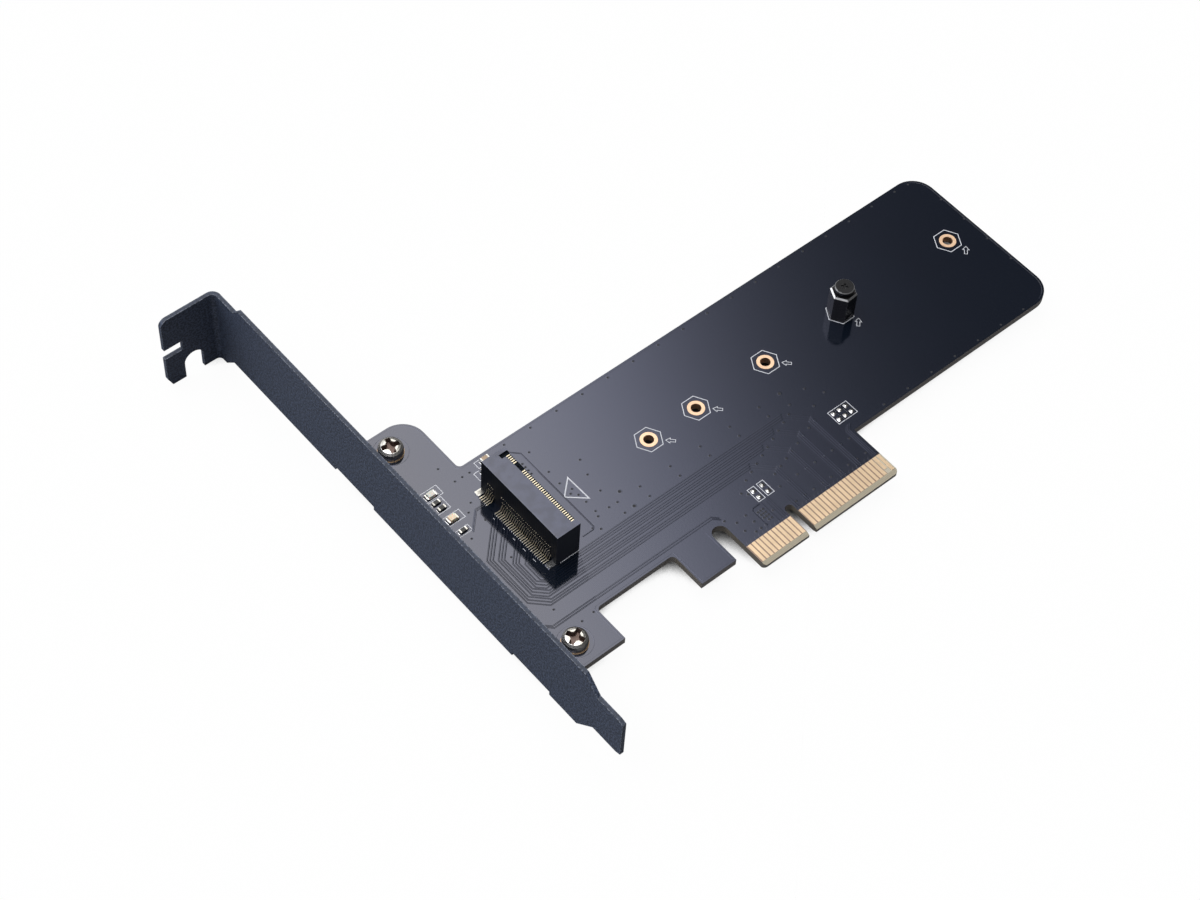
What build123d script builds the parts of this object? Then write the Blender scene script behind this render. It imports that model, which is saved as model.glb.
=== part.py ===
"""Adapter card that carries an M.2 solid state drive in a PCI Express slot.

Millimetres. X = 0 is the middle of the key notch in the edge connector, +X runs away
from the bracket. Y = 0 is the lower edge of the connector tongue, +Y runs up into the
computer. Z = 0 is the middle of the board's thickness, +Z is the component side.
"""

import os

from build123d import *

# Board sheet and its copper
board_thick = 1.57
copper_thick = 0.05
board_top = board_thick / 2
copper_top = board_top + copper_thick

# Edge connector: tongue, key notch, contacts and the retention tab beside it
contact_pitch = 1.0
contact_wide = 0.74
contact_low = 0.9
contact_high = 5.2
contact_short = 1.0
contacts_left = 11
contacts_right = 21
contact_clear_of_key = 1.5
tongue_margin = 0.65
tongue_low = 0.0
tongue_corner = 0.8
tongue_bevel_high = 0.85
tongue_bevel_deep = 0.4
key_wide = 1.9
key_high = 7.4
latch_slot_wide = 3.3
latch_slot_high = 12.1
latch_slot_round = 1.617
latch_tab_wide = 8.45
latch_tab_low = 4.25

# Bracket: one folded sheet
sheet = 0.86
bracket_inner_x = -58.74
bracket_wide = 18.42
bracket_tip_y = -14.2
bracket_tall = 120.02
bend_inner = 1.0
fold_inner = 0.35
tongue_wide = 10.6
tongue_from_edge = 4.18
low_taper_front = (10.1, 6.7)
low_taper_back = (11.5, 7.3)
tip_cut_wide = 0.4
tip_cut_high = 1.2
top_step_in = 1.89
top_step_below_top = (8.72, 7.12)
top_flare_out = 2.77
top_flare_below_top = (5.72, 2.92)
top_tab_long = 12.1
top_tab_corner = 1.6
top_slot_wide = 2.6
top_slot_from_corner = 8.3
top_slot_deep = 4.1
screw_slot_radius = 2.15
screw_slot_from_edge = 6.25
screw_slot_deep = 3.9
top_tab_cut = (1.0, 2.2)

# Mounting tabs folded from the bracket, and the screws that hold the board to them
bracket_screw_y = (63.1, 9.2)
bracket_screw_inset = 8.71
fold_tab_reach = ((7.2, 4.6), (4.4, 6.1))
fold_tab_corner = 1.5
fold_tab_past_screw = 5.03
screw_radius = 1.5
screw_long = 4.6
screw_head_radius = 2.5
screw_head_tall = 2.0
# Shoulder of the head: how far in from its side, how far down from its top
screw_shoulder = ((0, 1.05), (0.15, 0.5), (0.6, 0.12), (1.05, 0))
screw_cross_span = 3.7
screw_cross_wide = 1.08
screw_cross_web = 0.35
screw_cross_deep = 1.3
screw_cross_slope = 9
screw_turns = (75, 25)
thread_clear = 0.03
screw_hole_clear = 0.2
land_radius = 2.62

# Board outline around the bracket screws and the drive
board_gap = 0.44
lobe_past_screw_x = 7.63
lobe_past_upper_screw = 4.8
lobe_past_lower_screw = 5.0
lobe_round = 5.0
inner_round = 1.0
corner_round = 5.0
main_low_y = 12.3
main_half_wide = 17.2
board_past_last_hole = 7.6

# Drive positions: hole distances are from the drive's own datum in the socket
drive_y = 35.0
drive_datum_x = -40.15
drive_lengths = (30, 42, 60, 80, 110)
standoff_length = drive_lengths[-2]
drive_bore_radius = 1.05
plating_wall = 0.2
ring_radius = 1.75

# Standoff and its two screws
standoff_flats = 4.8
standoff_tall = 6.7
standoff_turn = 4.0
standoff_chamfer = 0.3
drive_screw_radius = 0.98
drive_screw_head_radius = 1.95
drive_screw_head_tall = 0.7
drive_screw_gap = 0.65
drive_screw_long = 3.6
drive_screw_rim = 0.15
drive_cross_span = 1.5
drive_cross_wide = 0.4
drive_cross_web = 0.1
drive_cross_deep = 0.4
drive_cross_slope = 6
drive_screw_turn = 35
standoff_bore_clear = 0.02
lower_screw_bite = 2.4

# Socket housing
socket_end = 1.7
socket_tall = 8.5
socket_behind_datum = 1.95
socket_before_datum = 3.55
mouth_end = 0.8
mouth_low = 6.62
mouth_high = 7.7
mouth_deep = 3.8
roof_back = 1.1
roof_end = 0.35
roof_notch = 1.0
key_rib_wide = 1.0
key_rib_y = 6.125
key_pocket_back = 0.77
key_pocket_size = (0.5, 0.4)
key_pocket_deep = 0.6
socket_edge = 0.15
undercut_high = 1.9
window_lows = (2.15, 3.45)
window_tall = 0.4
row_clear = 0.3

# Socket contacts
pin_pitch = 0.5
pin_wide = 0.2
pin_thick = 0.15
pin_slot_clear = 0.05
long_row = 29
short_row_start = 33
upper_short_row = 5
lower_short_row = 4
tail_out = 1.6
tail_flat = 1.2
upper_pin_bend = 1.7
upper_arm_short = 1.3
upper_arm_dip = 0.45
upper_tip_back = 0.15
upper_tip_long = 0.85
lower_tip_back = 0.2
lower_tip_long = 0.6
lower_arm_drop = 0.9
lower_slot_drops = (0.6, 1.2)
back_pin_inset = 0.45
back_row_gap = 0.75
front_tail_out = 0.9
hold_down_gap = 0.45
hold_down_thick = 0.25
hold_down_out = 1.6
hold_down_in = 0.5

# Chip parts: middle x, middle y, length, width, height
chip_end = 0.3
lens_share = 0.55
lens_slope = 12
chips = {
    "led_upper": (-50.45, 50.4, 2.2, 1.3, 0.8),
    "led_lower": (-50.55, 43.8, 2.2, 1.3, 0.8),
    "resistor_upper": (-50.7, 48.45, 1.6, 0.8, 0.45),
    "resistor_middle": (-50.6, 46.9, 1.6, 0.8, 0.45),
    "resistor_lower": (-50.6, 40.55, 1.6, 0.8, 0.45),
    "capacitor_upper": (-37.45, 50.6, 1.8, 0.85, 0.8),
    "capacitor_lower": (-38.9, 48.6, 1.8, 0.85, 0.8),
}

# Places worked out from the sizes above
contact_x = [-(contact_clear_of_key + i * contact_pitch) for i in range(contacts_left)]
contact_x += [contact_clear_of_key + i * contact_pitch for i in range(contacts_right)]
tongue_left = min(contact_x) - tongue_margin
tongue_right = max(contact_x) + tongue_margin
latch_tab_right = tongue_left - latch_slot_wide
latch_tab_left = latch_tab_right - latch_tab_wide

bracket_outer_x = bracket_inner_x - sheet
bracket_low_z = -board_top - sheet
bracket_high_z = bracket_low_z + bracket_wide
bracket_top_y = bracket_tip_y + bracket_tall
board_left = bracket_inner_x + board_gap
screw_x = bracket_inner_x + bracket_screw_inset

lobe_right = screw_x + lobe_past_screw_x
lobe_high = bracket_screw_y[0] + lobe_past_upper_screw
lobe_low = bracket_screw_y[1] - lobe_past_lower_screw
drive_hole_x = {length: drive_datum_x + length for length in drive_lengths}
board_right = drive_datum_x + max(drive_lengths) + board_past_last_hole
main_high_y = drive_y + main_half_wide

first_pin_y = -(short_row_start + upper_short_row - 1) * pin_pitch / 2
socket_wide = 2 * (socket_end - first_pin_y)
mouth_wide = 2 * (mouth_end - first_pin_y)
roof_wide = 2 * (roof_end - first_pin_y)
hold_down_wide = socket_end - hold_down_gap
socket_rear = drive_datum_x - socket_behind_datum
socket_front = drive_datum_x + socket_before_datum
socket_top = board_top + socket_tall
long_row_pins = range(long_row)
upper_pins = [*long_row_pins, *range(short_row_start, short_row_start + upper_short_row)]
lower_pins = [*long_row_pins, *range(short_row_start, short_row_start + lower_short_row)]
upper_pin_y = [drive_y + first_pin_y + i * pin_pitch for i in upper_pins]
lower_pin_y = [drive_y + first_pin_y + (i + 0.5) * pin_pitch for i in lower_pins]


def corner(shape, x, y):
    """The sketch corner nearest to a place in the sketch."""
    return min(shape.vertices(), key=lambda v: (v.X - x) ** 2 + (v.Y - y) ** 2)


def strip(points, thick):
    """Closed outline of a bent strip of even thickness along its middle line."""
    path = [Vector(*point) for point in points]
    runs = [(b - a).normalized() for a, b in zip(path, path[1:])]
    left, right = [], []
    for i, point in enumerate(path):
        before = runs[max(i - 1, 0)]
        after = runs[min(i, len(runs) - 1)]
        along = (before + after).normalized()
        across = Vector(-along.Y, along.X)
        reach = thick / 2 / across.dot(Vector(-after.Y, after.X))
        left.append(point + across * reach)
        right.append(point - across * reach)
    return [(p.X, p.Y) for p in left + right[::-1]]


def ring(inner, outer, low, high):
    """A flat ring about the origin, between two heights."""
    with BuildPart() as made:
        with BuildSketch(Plane.XY.offset(low)):
            Circle(outer)
            Circle(inner, mode=Mode.SUBTRACT)
        extrude(amount=high - low)
    return made.part


def cross_recess(span, wide, web, deep, top, slope):
    """The tapered cross-shaped pocket of a screw head, its mouth at top."""
    with BuildPart() as made:
        with BuildSketch(Plane.XY.offset(top)) as cross:
            Rectangle(span, wide)
            Rectangle(wide, span)
            chamfer(cross.vertices().sort_by_distance((0, 0, top))[:4], length=web)
        extrude(amount=-deep, taper=slope)
    return made.part


# Circuit board
with BuildPart() as circuit_board:
    with BuildSketch(Plane.XY.offset(-board_top)) as outline:
        with BuildLine():
            Polyline(
                (board_left, lobe_low),
                (lobe_right, lobe_low),
                (lobe_right, main_low_y),
                (latch_tab_left, main_low_y),
                (latch_tab_left, latch_tab_low),
                (latch_tab_right, latch_tab_low),
                (latch_tab_right, latch_slot_high),
                (tongue_left, latch_slot_high),
                (tongue_left, tongue_low),
                (tongue_right, tongue_low),
                (tongue_right, main_low_y),
                (board_right, main_low_y),
                (board_right, main_high_y),
                (lobe_right, main_high_y),
                (lobe_right, lobe_high),
                (board_left, lobe_high),
                close=True,
            )
        make_face()
        far_corners = [(board_right, main_low_y), (board_right, main_high_y)]
        fillet([corner(outline, *place) for place in far_corners], radius=corner_round)
        fillet(corner(outline, lobe_right, lobe_high), radius=lobe_round)
        inner_corners = [
            (lobe_right, main_low_y),
            (lobe_right, main_high_y),
            (latch_tab_left, main_low_y),
        ]
        fillet([corner(outline, *place) for place in inner_corners], radius=inner_round)
        slot_corners = [(latch_tab_right, latch_slot_high), (tongue_left, latch_slot_high)]
        fillet([corner(outline, *place) for place in slot_corners], radius=latch_slot_round)
        tongue_corners = [(tongue_left, tongue_low), (tongue_right, tongue_low)]
        fillet([corner(outline, *place) for place in tongue_corners], radius=tongue_corner)
        # Key notch with a round end
        key_straight = key_high - key_wide / 2
        with Locations((0, (tongue_low + key_straight) / 2)):
            Rectangle(key_wide, key_straight - tongue_low, mode=Mode.SUBTRACT)
        with Locations((0, key_straight)):
            Circle(key_wide / 2, mode=Mode.SUBTRACT)
        # Holes for the drive's standoff and for the bracket screws
        with Locations(*[(x, drive_y) for x in drive_hole_x.values()]):
            Circle(drive_bore_radius + plating_wall, mode=Mode.SUBTRACT)
        with Locations(*[(screw_x, y) for y in bracket_screw_y]):
            Circle(screw_radius + screw_hole_clear, mode=Mode.SUBTRACT)
    extrude(amount=board_thick)
    # Both faces slope in to the tongue's lower edge
    bevel_plane = Plane.YZ.offset(tongue_left)
    for side in (1, -1):
        with BuildSketch(bevel_plane):
            with BuildLine():
                Polyline(
                    (tongue_low, side * board_top),
                    (tongue_low, side * (board_top - tongue_bevel_deep)),
                    (tongue_low + tongue_bevel_high, side * board_top),
                    close=True,
                )
            make_face()
        extrude(amount=tongue_right - tongue_left, mode=Mode.SUBTRACT)
circuit_board.part.label = "circuit_board"


def edge_contacts(short_x, low_z):
    """The row of plated contacts on one face, one of them shorter at its lower end."""
    with BuildPart() as made:
        with BuildSketch(Plane.XY.offset(low_z)):
            for x in contact_x:
                low = contact_low + (contact_short if x == short_x else 0)
                with Locations((x, (low + contact_high) / 2)):
                    Rectangle(contact_wide, contact_high - low)
        extrude(amount=copper_thick)
    return made


# Edge contacts: the second last is short on the front, the first on the back
edge_contacts_front = edge_contacts(contact_x[-2], board_top)
edge_contacts_front.part.label = "edge_contacts_front"
edge_contacts_back = edge_contacts(min(contact_x), -copper_top)
edge_contacts_back.part.label = "edge_contacts_back"

# Plated holes for the drive's standoff: a barrel with a flange on each face
plated_holes = {}
for length, x in drive_hole_x.items():
    with BuildPart() as plated_hole:
        with BuildSketch(Plane.XZ) as wall:
            with BuildLine():
                Polyline(
                    (drive_bore_radius, -copper_top),
                    (ring_radius, -copper_top),
                    (ring_radius, -board_top),
                    (drive_bore_radius + plating_wall, -board_top),
                    (drive_bore_radius + plating_wall, board_top),
                    (ring_radius, board_top),
                    (ring_radius, copper_top),
                    (drive_bore_radius, copper_top),
                    close=True,
                )
            make_face()
        revolve(axis=Axis.Z)
    plated_hole.part.label = f"plated_hole_{length}"
    plated_holes[length] = plated_hole.part.moved(Location((x, drive_y, 0)))
    plated_holes[length].label = f"plated_hole_{length}"

# Gold lands round the bracket screws
screw_lands = {}
for name, y in zip(("upper", "lower"), bracket_screw_y):
    land = ring(screw_radius + screw_hole_clear, land_radius, board_top, copper_top)
    screw_lands[name] = land.moved(Location((screw_x, y, 0)))
    screw_lands[name].label = f"screw_land_{name}"

# Bracket: plate, outward tab at the top, two inward tabs under the board
tongue_low_z = bracket_low_z + tongue_from_edge
tongue_high_z = tongue_low_z + tongue_wide
step_z = bracket_high_z - top_step_in
flare_z = bracket_low_z - top_flare_out
top_tab_end = bracket_outer_x - top_tab_long
with BuildPart() as bracket:
    with BuildSketch(Plane.YZ.offset(bracket_outer_x)):
        with BuildLine():
            Polyline(
                (bracket_tip_y, tongue_low_z + tip_cut_wide),
                (bracket_tip_y, tongue_high_z - tip_cut_wide),
                (bracket_tip_y + tip_cut_high, tongue_high_z),
                (bracket_tip_y + low_taper_front[1], tongue_high_z),
                (bracket_tip_y + low_taper_front[0], bracket_high_z),
                (bracket_top_y - top_step_below_top[0], bracket_high_z),
                (bracket_top_y - top_step_below_top[1], step_z),
                (bracket_top_y, step_z),
                (bracket_top_y, flare_z),
                (bracket_top_y - top_flare_below_top[1], flare_z),
                (bracket_top_y - top_flare_below_top[0], bracket_low_z),
                (bracket_tip_y + low_taper_back[0], bracket_low_z),
                (bracket_tip_y + low_taper_back[1], tongue_low_z),
                (bracket_tip_y + tip_cut_high, tongue_low_z),
                close=True,
            )
        make_face()
    extrude(amount=sheet)
    # Top tab with the narrow slot and the open slot for the case screw
    with BuildSketch(Plane.XZ.offset(-bracket_top_y)) as top_tab:
        with BuildLine():
            Polyline(
                (bracket_inner_x, flare_z),
                (bracket_inner_x, step_z),
                (top_tab_end, step_z),
                (top_tab_end, flare_z + top_tab_cut[1]),
                (top_tab_end + top_tab_cut[0], flare_z),
                close=True,
            )
        make_face()
        fillet(corner(top_tab, top_tab_end, step_z), radius=top_tab_corner)
        slot_mid_z = step_z - top_slot_from_corner - top_slot_wide / 2
        with Locations((top_tab_end + top_slot_deep / 2, slot_mid_z)):
            Rectangle(top_slot_deep, top_slot_wide, mode=Mode.SUBTRACT)
        with Locations((top_tab_end + screw_slot_from_edge, flare_z + screw_slot_deep)):
            Circle(screw_slot_radius, mode=Mode.SUBTRACT)
        with Locations((top_tab_end + screw_slot_from_edge, flare_z + screw_slot_deep / 2)):
            Rectangle(2 * screw_slot_radius, screw_slot_deep, mode=Mode.SUBTRACT)
    extrude(amount=sheet)
    bend_edges = bracket.edges().filter_by(Axis.Z)
    inside = bend_edges.sort_by_distance((bracket_outer_x, bracket_top_y - sheet, 0))[0]
    fillet(inside, radius=bend_inner)
    bend_edges = bracket.edges().filter_by(Axis.Z)
    outside = bend_edges.sort_by_distance((bracket_inner_x, bracket_top_y, 0))[0]
    fillet(outside, radius=bend_inner + sheet)
    # Inward tabs: the plate's edge is rounded where each one folds out of it
    fold_outer = fold_inner + sheet
    fold_tab_end = screw_x + fold_tab_past_screw
    for y, (below, above) in zip(bracket_screw_y, fold_tab_reach):
        tab_low = y - below
        tab_high = y + above
        tab_plane = Plane.XZ.offset(-tab_high)
        with BuildSketch(Plane.XY.offset(bracket_low_z)) as fold_tab:
            with Locations(((bracket_outer_x + fold_tab_end) / 2, (tab_low + tab_high) / 2)):
                Rectangle(fold_tab_end - bracket_outer_x, tab_high - tab_low)
            tab_corners = [corner(fold_tab, fold_tab_end, end) for end in (tab_low, tab_high)]
            fillet(tab_corners, radius=fold_tab_corner)
            with Locations((screw_x, y)):
                Circle(screw_radius + thread_clear, mode=Mode.SUBTRACT)
        extrude(amount=sheet)
        with BuildSketch(tab_plane):
            with Locations((bracket_outer_x + fold_outer / 2, bracket_low_z + fold_outer / 2)):
                Rectangle(fold_outer, fold_outer)
            with Locations((bracket_outer_x + fold_outer, bracket_low_z + fold_outer)):
                Circle(fold_outer, mode=Mode.SUBTRACT)
        extrude(amount=tab_high - tab_low, mode=Mode.SUBTRACT)
        with BuildSketch(tab_plane):
            with Locations((bracket_inner_x + fold_inner / 2, -board_top + fold_inner / 2)):
                Rectangle(fold_inner, fold_inner)
            with Locations((bracket_inner_x + fold_inner, -board_top + fold_inner)):
                Circle(fold_inner, mode=Mode.SUBTRACT)
        extrude(amount=tab_high - tab_low)
bracket.part.label = "bracket"

# Bracket screws: pan heads on the lands, shanks threaded into the tabs
screw_head_top = copper_top + screw_head_tall
with BuildPart() as bracket_screw:
    with BuildSketch(Plane.XZ):
        with BuildLine():
            Polyline(
                (0, copper_top - screw_long),
                (screw_radius, copper_top - screw_long),
                (screw_radius, copper_top),
                (screw_head_radius, copper_top),
                *[(screw_head_radius - inset, screw_head_top - drop) for inset, drop in screw_shoulder],
                (0, screw_head_top),
                close=True,
            )
        make_face()
    revolve(axis=Axis.Z)
    add(
        cross_recess(
            screw_cross_span,
            screw_cross_wide,
            screw_cross_web,
            screw_cross_deep,
            screw_head_top,
            screw_cross_slope,
        ),
        mode=Mode.SUBTRACT,
    )
bracket_screws = {}
for name, y, turn in zip(("upper", "lower"), bracket_screw_y, screw_turns):
    placed = Location((screw_x, y, 0), (0, 0, turn))
    bracket_screws[name] = bracket_screw.part.moved(placed)
    bracket_screws[name].label = f"bracket_screw_{name}"

# Standoff for the drive's free end
standoff_x = drive_hole_x[standoff_length]
standoff_top = copper_top + standoff_tall
with BuildPart() as standoff:
    with BuildSketch(Plane.XY.offset(copper_top)):
        with Locations((standoff_x, drive_y)):
            RegularPolygon(
                standoff_flats / 2, 6, major_radius=False, rotation=standoff_turn
            )
            Circle(drive_screw_radius + standoff_bore_clear, mode=Mode.SUBTRACT)
    extrude(amount=standoff_tall)
    top_face = standoff.faces().sort_by(Axis.Z)[-1]
    chamfer(top_face.outer_wire().edges(), length=standoff_chamfer)
standoff.part.label = "standoff"


def drive_screw(length):
    """A flat-headed screw about the origin: the head's flat underside is at Z = 0."""
    with BuildPart() as made:
        with BuildSketch(Plane.XZ) as half_section:
            with BuildLine():
                Polyline(
                    (0, -length),
                    (drive_screw_radius, -length),
                    (drive_screw_radius, 0),
                    (drive_screw_head_radius, 0),
                    (drive_screw_head_radius, drive_screw_head_tall),
                    (0, drive_screw_head_tall),
                    close=True,
                )
            make_face()
            rim = corner(half_section, drive_screw_head_radius, drive_screw_head_tall)
            chamfer(rim, length=drive_screw_rim)
        revolve(axis=Axis.Z)
        add(
            cross_recess(
                drive_cross_span,
                drive_cross_wide,
                drive_cross_web,
                drive_cross_deep,
                drive_screw_head_tall,
                drive_cross_slope,
            ),
            mode=Mode.SUBTRACT,
        )
    return made.part


# The upper screw waits for the drive, the lower one holds the standoff to the board
upper_screw_z = standoff_top + drive_screw_gap
standoff_screw_upper = drive_screw(drive_screw_long).moved(
    Location((standoff_x, drive_y, upper_screw_z), (0, 0, drive_screw_turn))
)
standoff_screw_upper.label = "standoff_screw_upper"
lower_screw_long = 2 * copper_top + lower_screw_bite
standoff_screw_lower = drive_screw(lower_screw_long).moved(
    Location((standoff_x, drive_y, -copper_top), (180, 0, 0))
)
standoff_screw_lower.label = "standoff_screw_lower"

# Upper contact of the socket: a tip on the ledge, a spring arm that dips towards the
# drive's edge, down the back, and a tail
pin_half = pin_thick / 2
upper_arm_z = board_top + mouth_high + row_clear - pin_half
upper_back_x = socket_rear + back_pin_inset
upper_path = [
    (socket_front - upper_tip_back, upper_arm_z),
    (socket_front - upper_tip_back - upper_tip_long, upper_arm_z),
    (socket_front - roof_back - upper_arm_short, upper_arm_z - upper_arm_dip),
    (upper_back_x, upper_arm_z),
    (upper_back_x, board_top + upper_pin_bend),
    (socket_rear - tail_out + tail_flat, board_top + pin_half),
    (socket_rear - tail_out, board_top + pin_half),
]
# Lower contact: a spring arm under the drive's edge, down inside, a tail to the front
lower_back_x = upper_back_x + back_row_gap
lower_path = [
    (socket_front - lower_tip_back, board_top + mouth_low - row_clear),
    (socket_front - lower_tip_back - lower_tip_long, board_top + mouth_low + pin_slot_clear),
    (lower_back_x, board_top + mouth_low - lower_arm_drop),
    (lower_back_x, board_top + pin_half),
    (socket_front + front_tail_out, board_top + pin_half),
]

with BuildPart() as upper_pin:
    with BuildSketch(Plane.XZ):
        Polygon(*strip(upper_path, pin_thick), align=None)
    extrude(amount=pin_wide / 2, both=True)
with BuildPart() as lower_pin:
    with BuildSketch(Plane.XZ):
        Polygon(*strip(lower_path, pin_thick), align=None)
    extrude(amount=pin_wide / 2, both=True)
with BuildPart() as socket_upper_contacts:
    with Locations(*[(0, y, 0) for y in upper_pin_y]):
        add(upper_pin.part)
socket_upper_contacts.part.label = "socket_upper_contacts"
with BuildPart() as socket_lower_contacts:
    with Locations(*[(0, y, 0) for y in lower_pin_y]):
        add(lower_pin.part)
socket_lower_contacts.part.label = "socket_lower_contacts"

# Slots in the housing, one for each contact
slot_half = pin_wide / 2 + pin_slot_clear
slot_air = pin_half + pin_slot_clear
ledge_z = upper_arm_z + slot_air
upper_well_top = board_top + mouth_high - upper_arm_dip
with BuildPart() as upper_pin_slot:
    with BuildSketch(Plane.XZ):
        with BuildLine():
            Polyline(
                (socket_front, ledge_z),
                (upper_back_x - slot_air, ledge_z),
                (upper_back_x - slot_air, upper_well_top),
                (socket_front, upper_well_top),
                close=True,
            )
        make_face()
    extrude(amount=slot_half, both=True)
with BuildPart() as lower_pin_slot:
    with BuildSketch(Plane.XZ):
        with BuildLine():
            Polyline(
                (socket_front, board_top + mouth_low + row_clear),
                (lower_back_x, board_top + mouth_low + row_clear),
                (lower_back_x, board_top + mouth_low - lower_slot_drops[1]),
                (socket_front, board_top + mouth_low - lower_slot_drops[0]),
                close=True,
            )
        make_face()
    extrude(amount=slot_half, both=True)

# Socket housing
with BuildPart() as socket_housing:
    with BuildSketch(Plane.XZ.offset(-(drive_y + socket_wide / 2))) as side_view:
        with BuildLine():
            Polyline(
                (socket_rear, board_top),
                (socket_front, board_top),
                (socket_front, socket_top),
                (socket_rear, socket_top),
                close=True,
            )
        make_face()
        fillet(corner(side_view, socket_rear, socket_top), radius=socket_edge)
    extrude(amount=socket_wide)
    # Mouth for the drive's edge, and the roof set back over a slotted ledge
    with BuildSketch(Plane.YZ.offset(socket_front - mouth_deep)):
        with Locations((drive_y, board_top + (mouth_low + mouth_high) / 2)):
            Rectangle(mouth_wide, mouth_high - mouth_low)
        with Locations((drive_y + key_rib_y, board_top + (mouth_low + mouth_high) / 2)):
            Rectangle(key_rib_wide, mouth_high - mouth_low, mode=Mode.SUBTRACT)
    extrude(amount=mouth_deep, mode=Mode.SUBTRACT)
    with BuildSketch(Plane.XY.offset(ledge_z)):
        with Locations((socket_front - roof_back / 2, drive_y)):
            Rectangle(roof_back, roof_wide)
        with Locations((socket_front - roof_back, drive_y + roof_wide / 2)):
            Rectangle(2 * roof_notch, roof_notch)
    extrude(amount=socket_top - ledge_z, mode=Mode.SUBTRACT)
    # Small pocket in the ledge, over the key rib
    with BuildSketch(Plane.XY.offset(ledge_z)):
        with Locations((socket_front - key_pocket_back, drive_y + key_rib_y)):
            Rectangle(*key_pocket_size)
    extrude(amount=-key_pocket_deep, mode=Mode.SUBTRACT)
    with Locations(*[(0, y, 0) for y in upper_pin_y]):
        add(upper_pin_slot.part, mode=Mode.SUBTRACT)
    with Locations(*[(0, y, 0) for y in lower_pin_y]):
        add(lower_pin_slot.part, mode=Mode.SUBTRACT)
    for row in (upper_pin_y[:long_row], upper_pin_y[long_row:]):
        row_y = (row[0] + row[-1]) / 2
        row_wide = row[-1] - row[0] + 2 * slot_half
        # Well that the upper contacts run down in, and the undercut their tails leave by
        with BuildSketch(Plane.XZ.offset(-(row_y + row_wide / 2))):
            with BuildLine():
                Polyline(
                    (socket_rear, board_top),
                    (socket_rear, board_top + undercut_high),
                    (upper_back_x - slot_air, board_top + undercut_high),
                    (upper_back_x - slot_air, upper_well_top),
                    (upper_back_x + slot_air, upper_well_top),
                    (upper_back_x + slot_air, board_top),
                    close=True,
                )
            make_face()
        extrude(amount=row_wide, mode=Mode.SUBTRACT)
    for row in (lower_pin_y[:long_row], lower_pin_y[long_row:]):
        row_y = (row[0] + row[-1]) / 2
        row_wide = row[-1] - row[0] + 2 * slot_half
        # Well that the lower contacts run down in, and the gap their tails leave by
        with BuildSketch(Plane.XZ.offset(-(row_y + row_wide / 2))):
            with BuildLine():
                Polyline(
                    (lower_back_x - slot_air, board_top),
                    (lower_back_x - slot_air, board_top + mouth_low),
                    (lower_back_x + slot_air, board_top + mouth_low),
                    (lower_back_x + slot_air, board_top + pin_thick + pin_slot_clear),
                    (socket_front, board_top + pin_thick + pin_slot_clear),
                    (socket_front, board_top),
                    close=True,
                )
            make_face()
        extrude(amount=row_wide, mode=Mode.SUBTRACT)
        # Two windows along the back that bare the contacts
        with BuildSketch(Plane.YZ.offset(socket_rear)):
            for low in window_lows:
                with Locations((row_y, board_top + low + window_tall / 2)):
                    Rectangle(row_wide, window_tall)
        extrude(amount=lower_back_x - slot_air - socket_rear, mode=Mode.SUBTRACT)
    # Pockets for the hold-downs at both ends of the back
    with BuildSketch(Plane.XY.offset(board_top)):
        for side in (1, -1):
            end_y = drive_y + side * (socket_wide - hold_down_wide) / 2
            with Locations((socket_rear + hold_down_in / 2, end_y)):
                Rectangle(hold_down_in, hold_down_wide)
    extrude(amount=hold_down_thick, mode=Mode.SUBTRACT)
socket_housing.part.label = "socket_housing"

# Metal tabs that hold the socket's ends to the board
with BuildPart() as socket_hold_downs:
    with BuildSketch(Plane.XY.offset(board_top)):
        for side in (1, -1):
            end_y = drive_y + side * (socket_wide - hold_down_wide) / 2
            with Locations((socket_rear + (hold_down_in - hold_down_out) / 2, end_y)):
                Rectangle(hold_down_in + hold_down_out, hold_down_wide)
    extrude(amount=hold_down_thick)
socket_hold_downs.part.label = "socket_hold_downs"

# Chip parts: a body between two metal ends
chip_nodes = {}
for name, (x, y, long, wide, tall) in chips.items():
    body_long = long - 2 * chip_end
    body_tall = tall * lens_share if name.startswith("led") else tall
    with BuildPart() as chip_body:
        with BuildSketch(Plane.XY.offset(board_top)):
            with Locations((x, y)):
                Rectangle(body_long, wide)
        extrude(amount=body_tall)
        if name.startswith("led"):
            with BuildSketch(Plane.XY.offset(board_top + body_tall)):
                with Locations((x, y)):
                    Rectangle(body_long, wide)
            extrude(amount=tall - body_tall, taper=lens_slope)
    with BuildPart() as chip_ends:
        with BuildSketch(Plane.XY.offset(board_top)):
            with Locations(*[(x + side * (long - chip_end) / 2, y) for side in (1, -1)]):
                Rectangle(chip_end, wide)
        extrude(amount=body_tall)
    chip_body.part.label = f"{name}_body"
    chip_ends.part.label = f"{name}_ends"
    chip_nodes[f"{name}_body"] = chip_body.part
    chip_nodes[f"{name}_ends"] = chip_ends.part

pieces = [
    circuit_board.part,
    edge_contacts_front.part,
    edge_contacts_back.part,
    *plated_holes.values(),
    *screw_lands.values(),
    bracket.part,
    *bracket_screws.values(),
    standoff.part,
    standoff_screw_upper,
    standoff_screw_lower,
    socket_housing.part,
    socket_upper_contacts.part,
    socket_lower_contacts.part,
    socket_hold_downs.part,
    *chip_nodes.values(),
]
os.makedirs("parts", exist_ok=True)
for piece in pieces:
    export_step(piece, f"parts/{piece.label}.step")
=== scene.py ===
"""Finish, printed marks, traces and solder of an adapter card for a solid-state drive.

Sizes are in millimetres and are turned into metres where a mesh is made. The axes are the
card's own: +X away from the bracket, +Y away from the slot that the card plugs into, and +Z
out of the face that carries the parts.
"""

import math
import random

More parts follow.
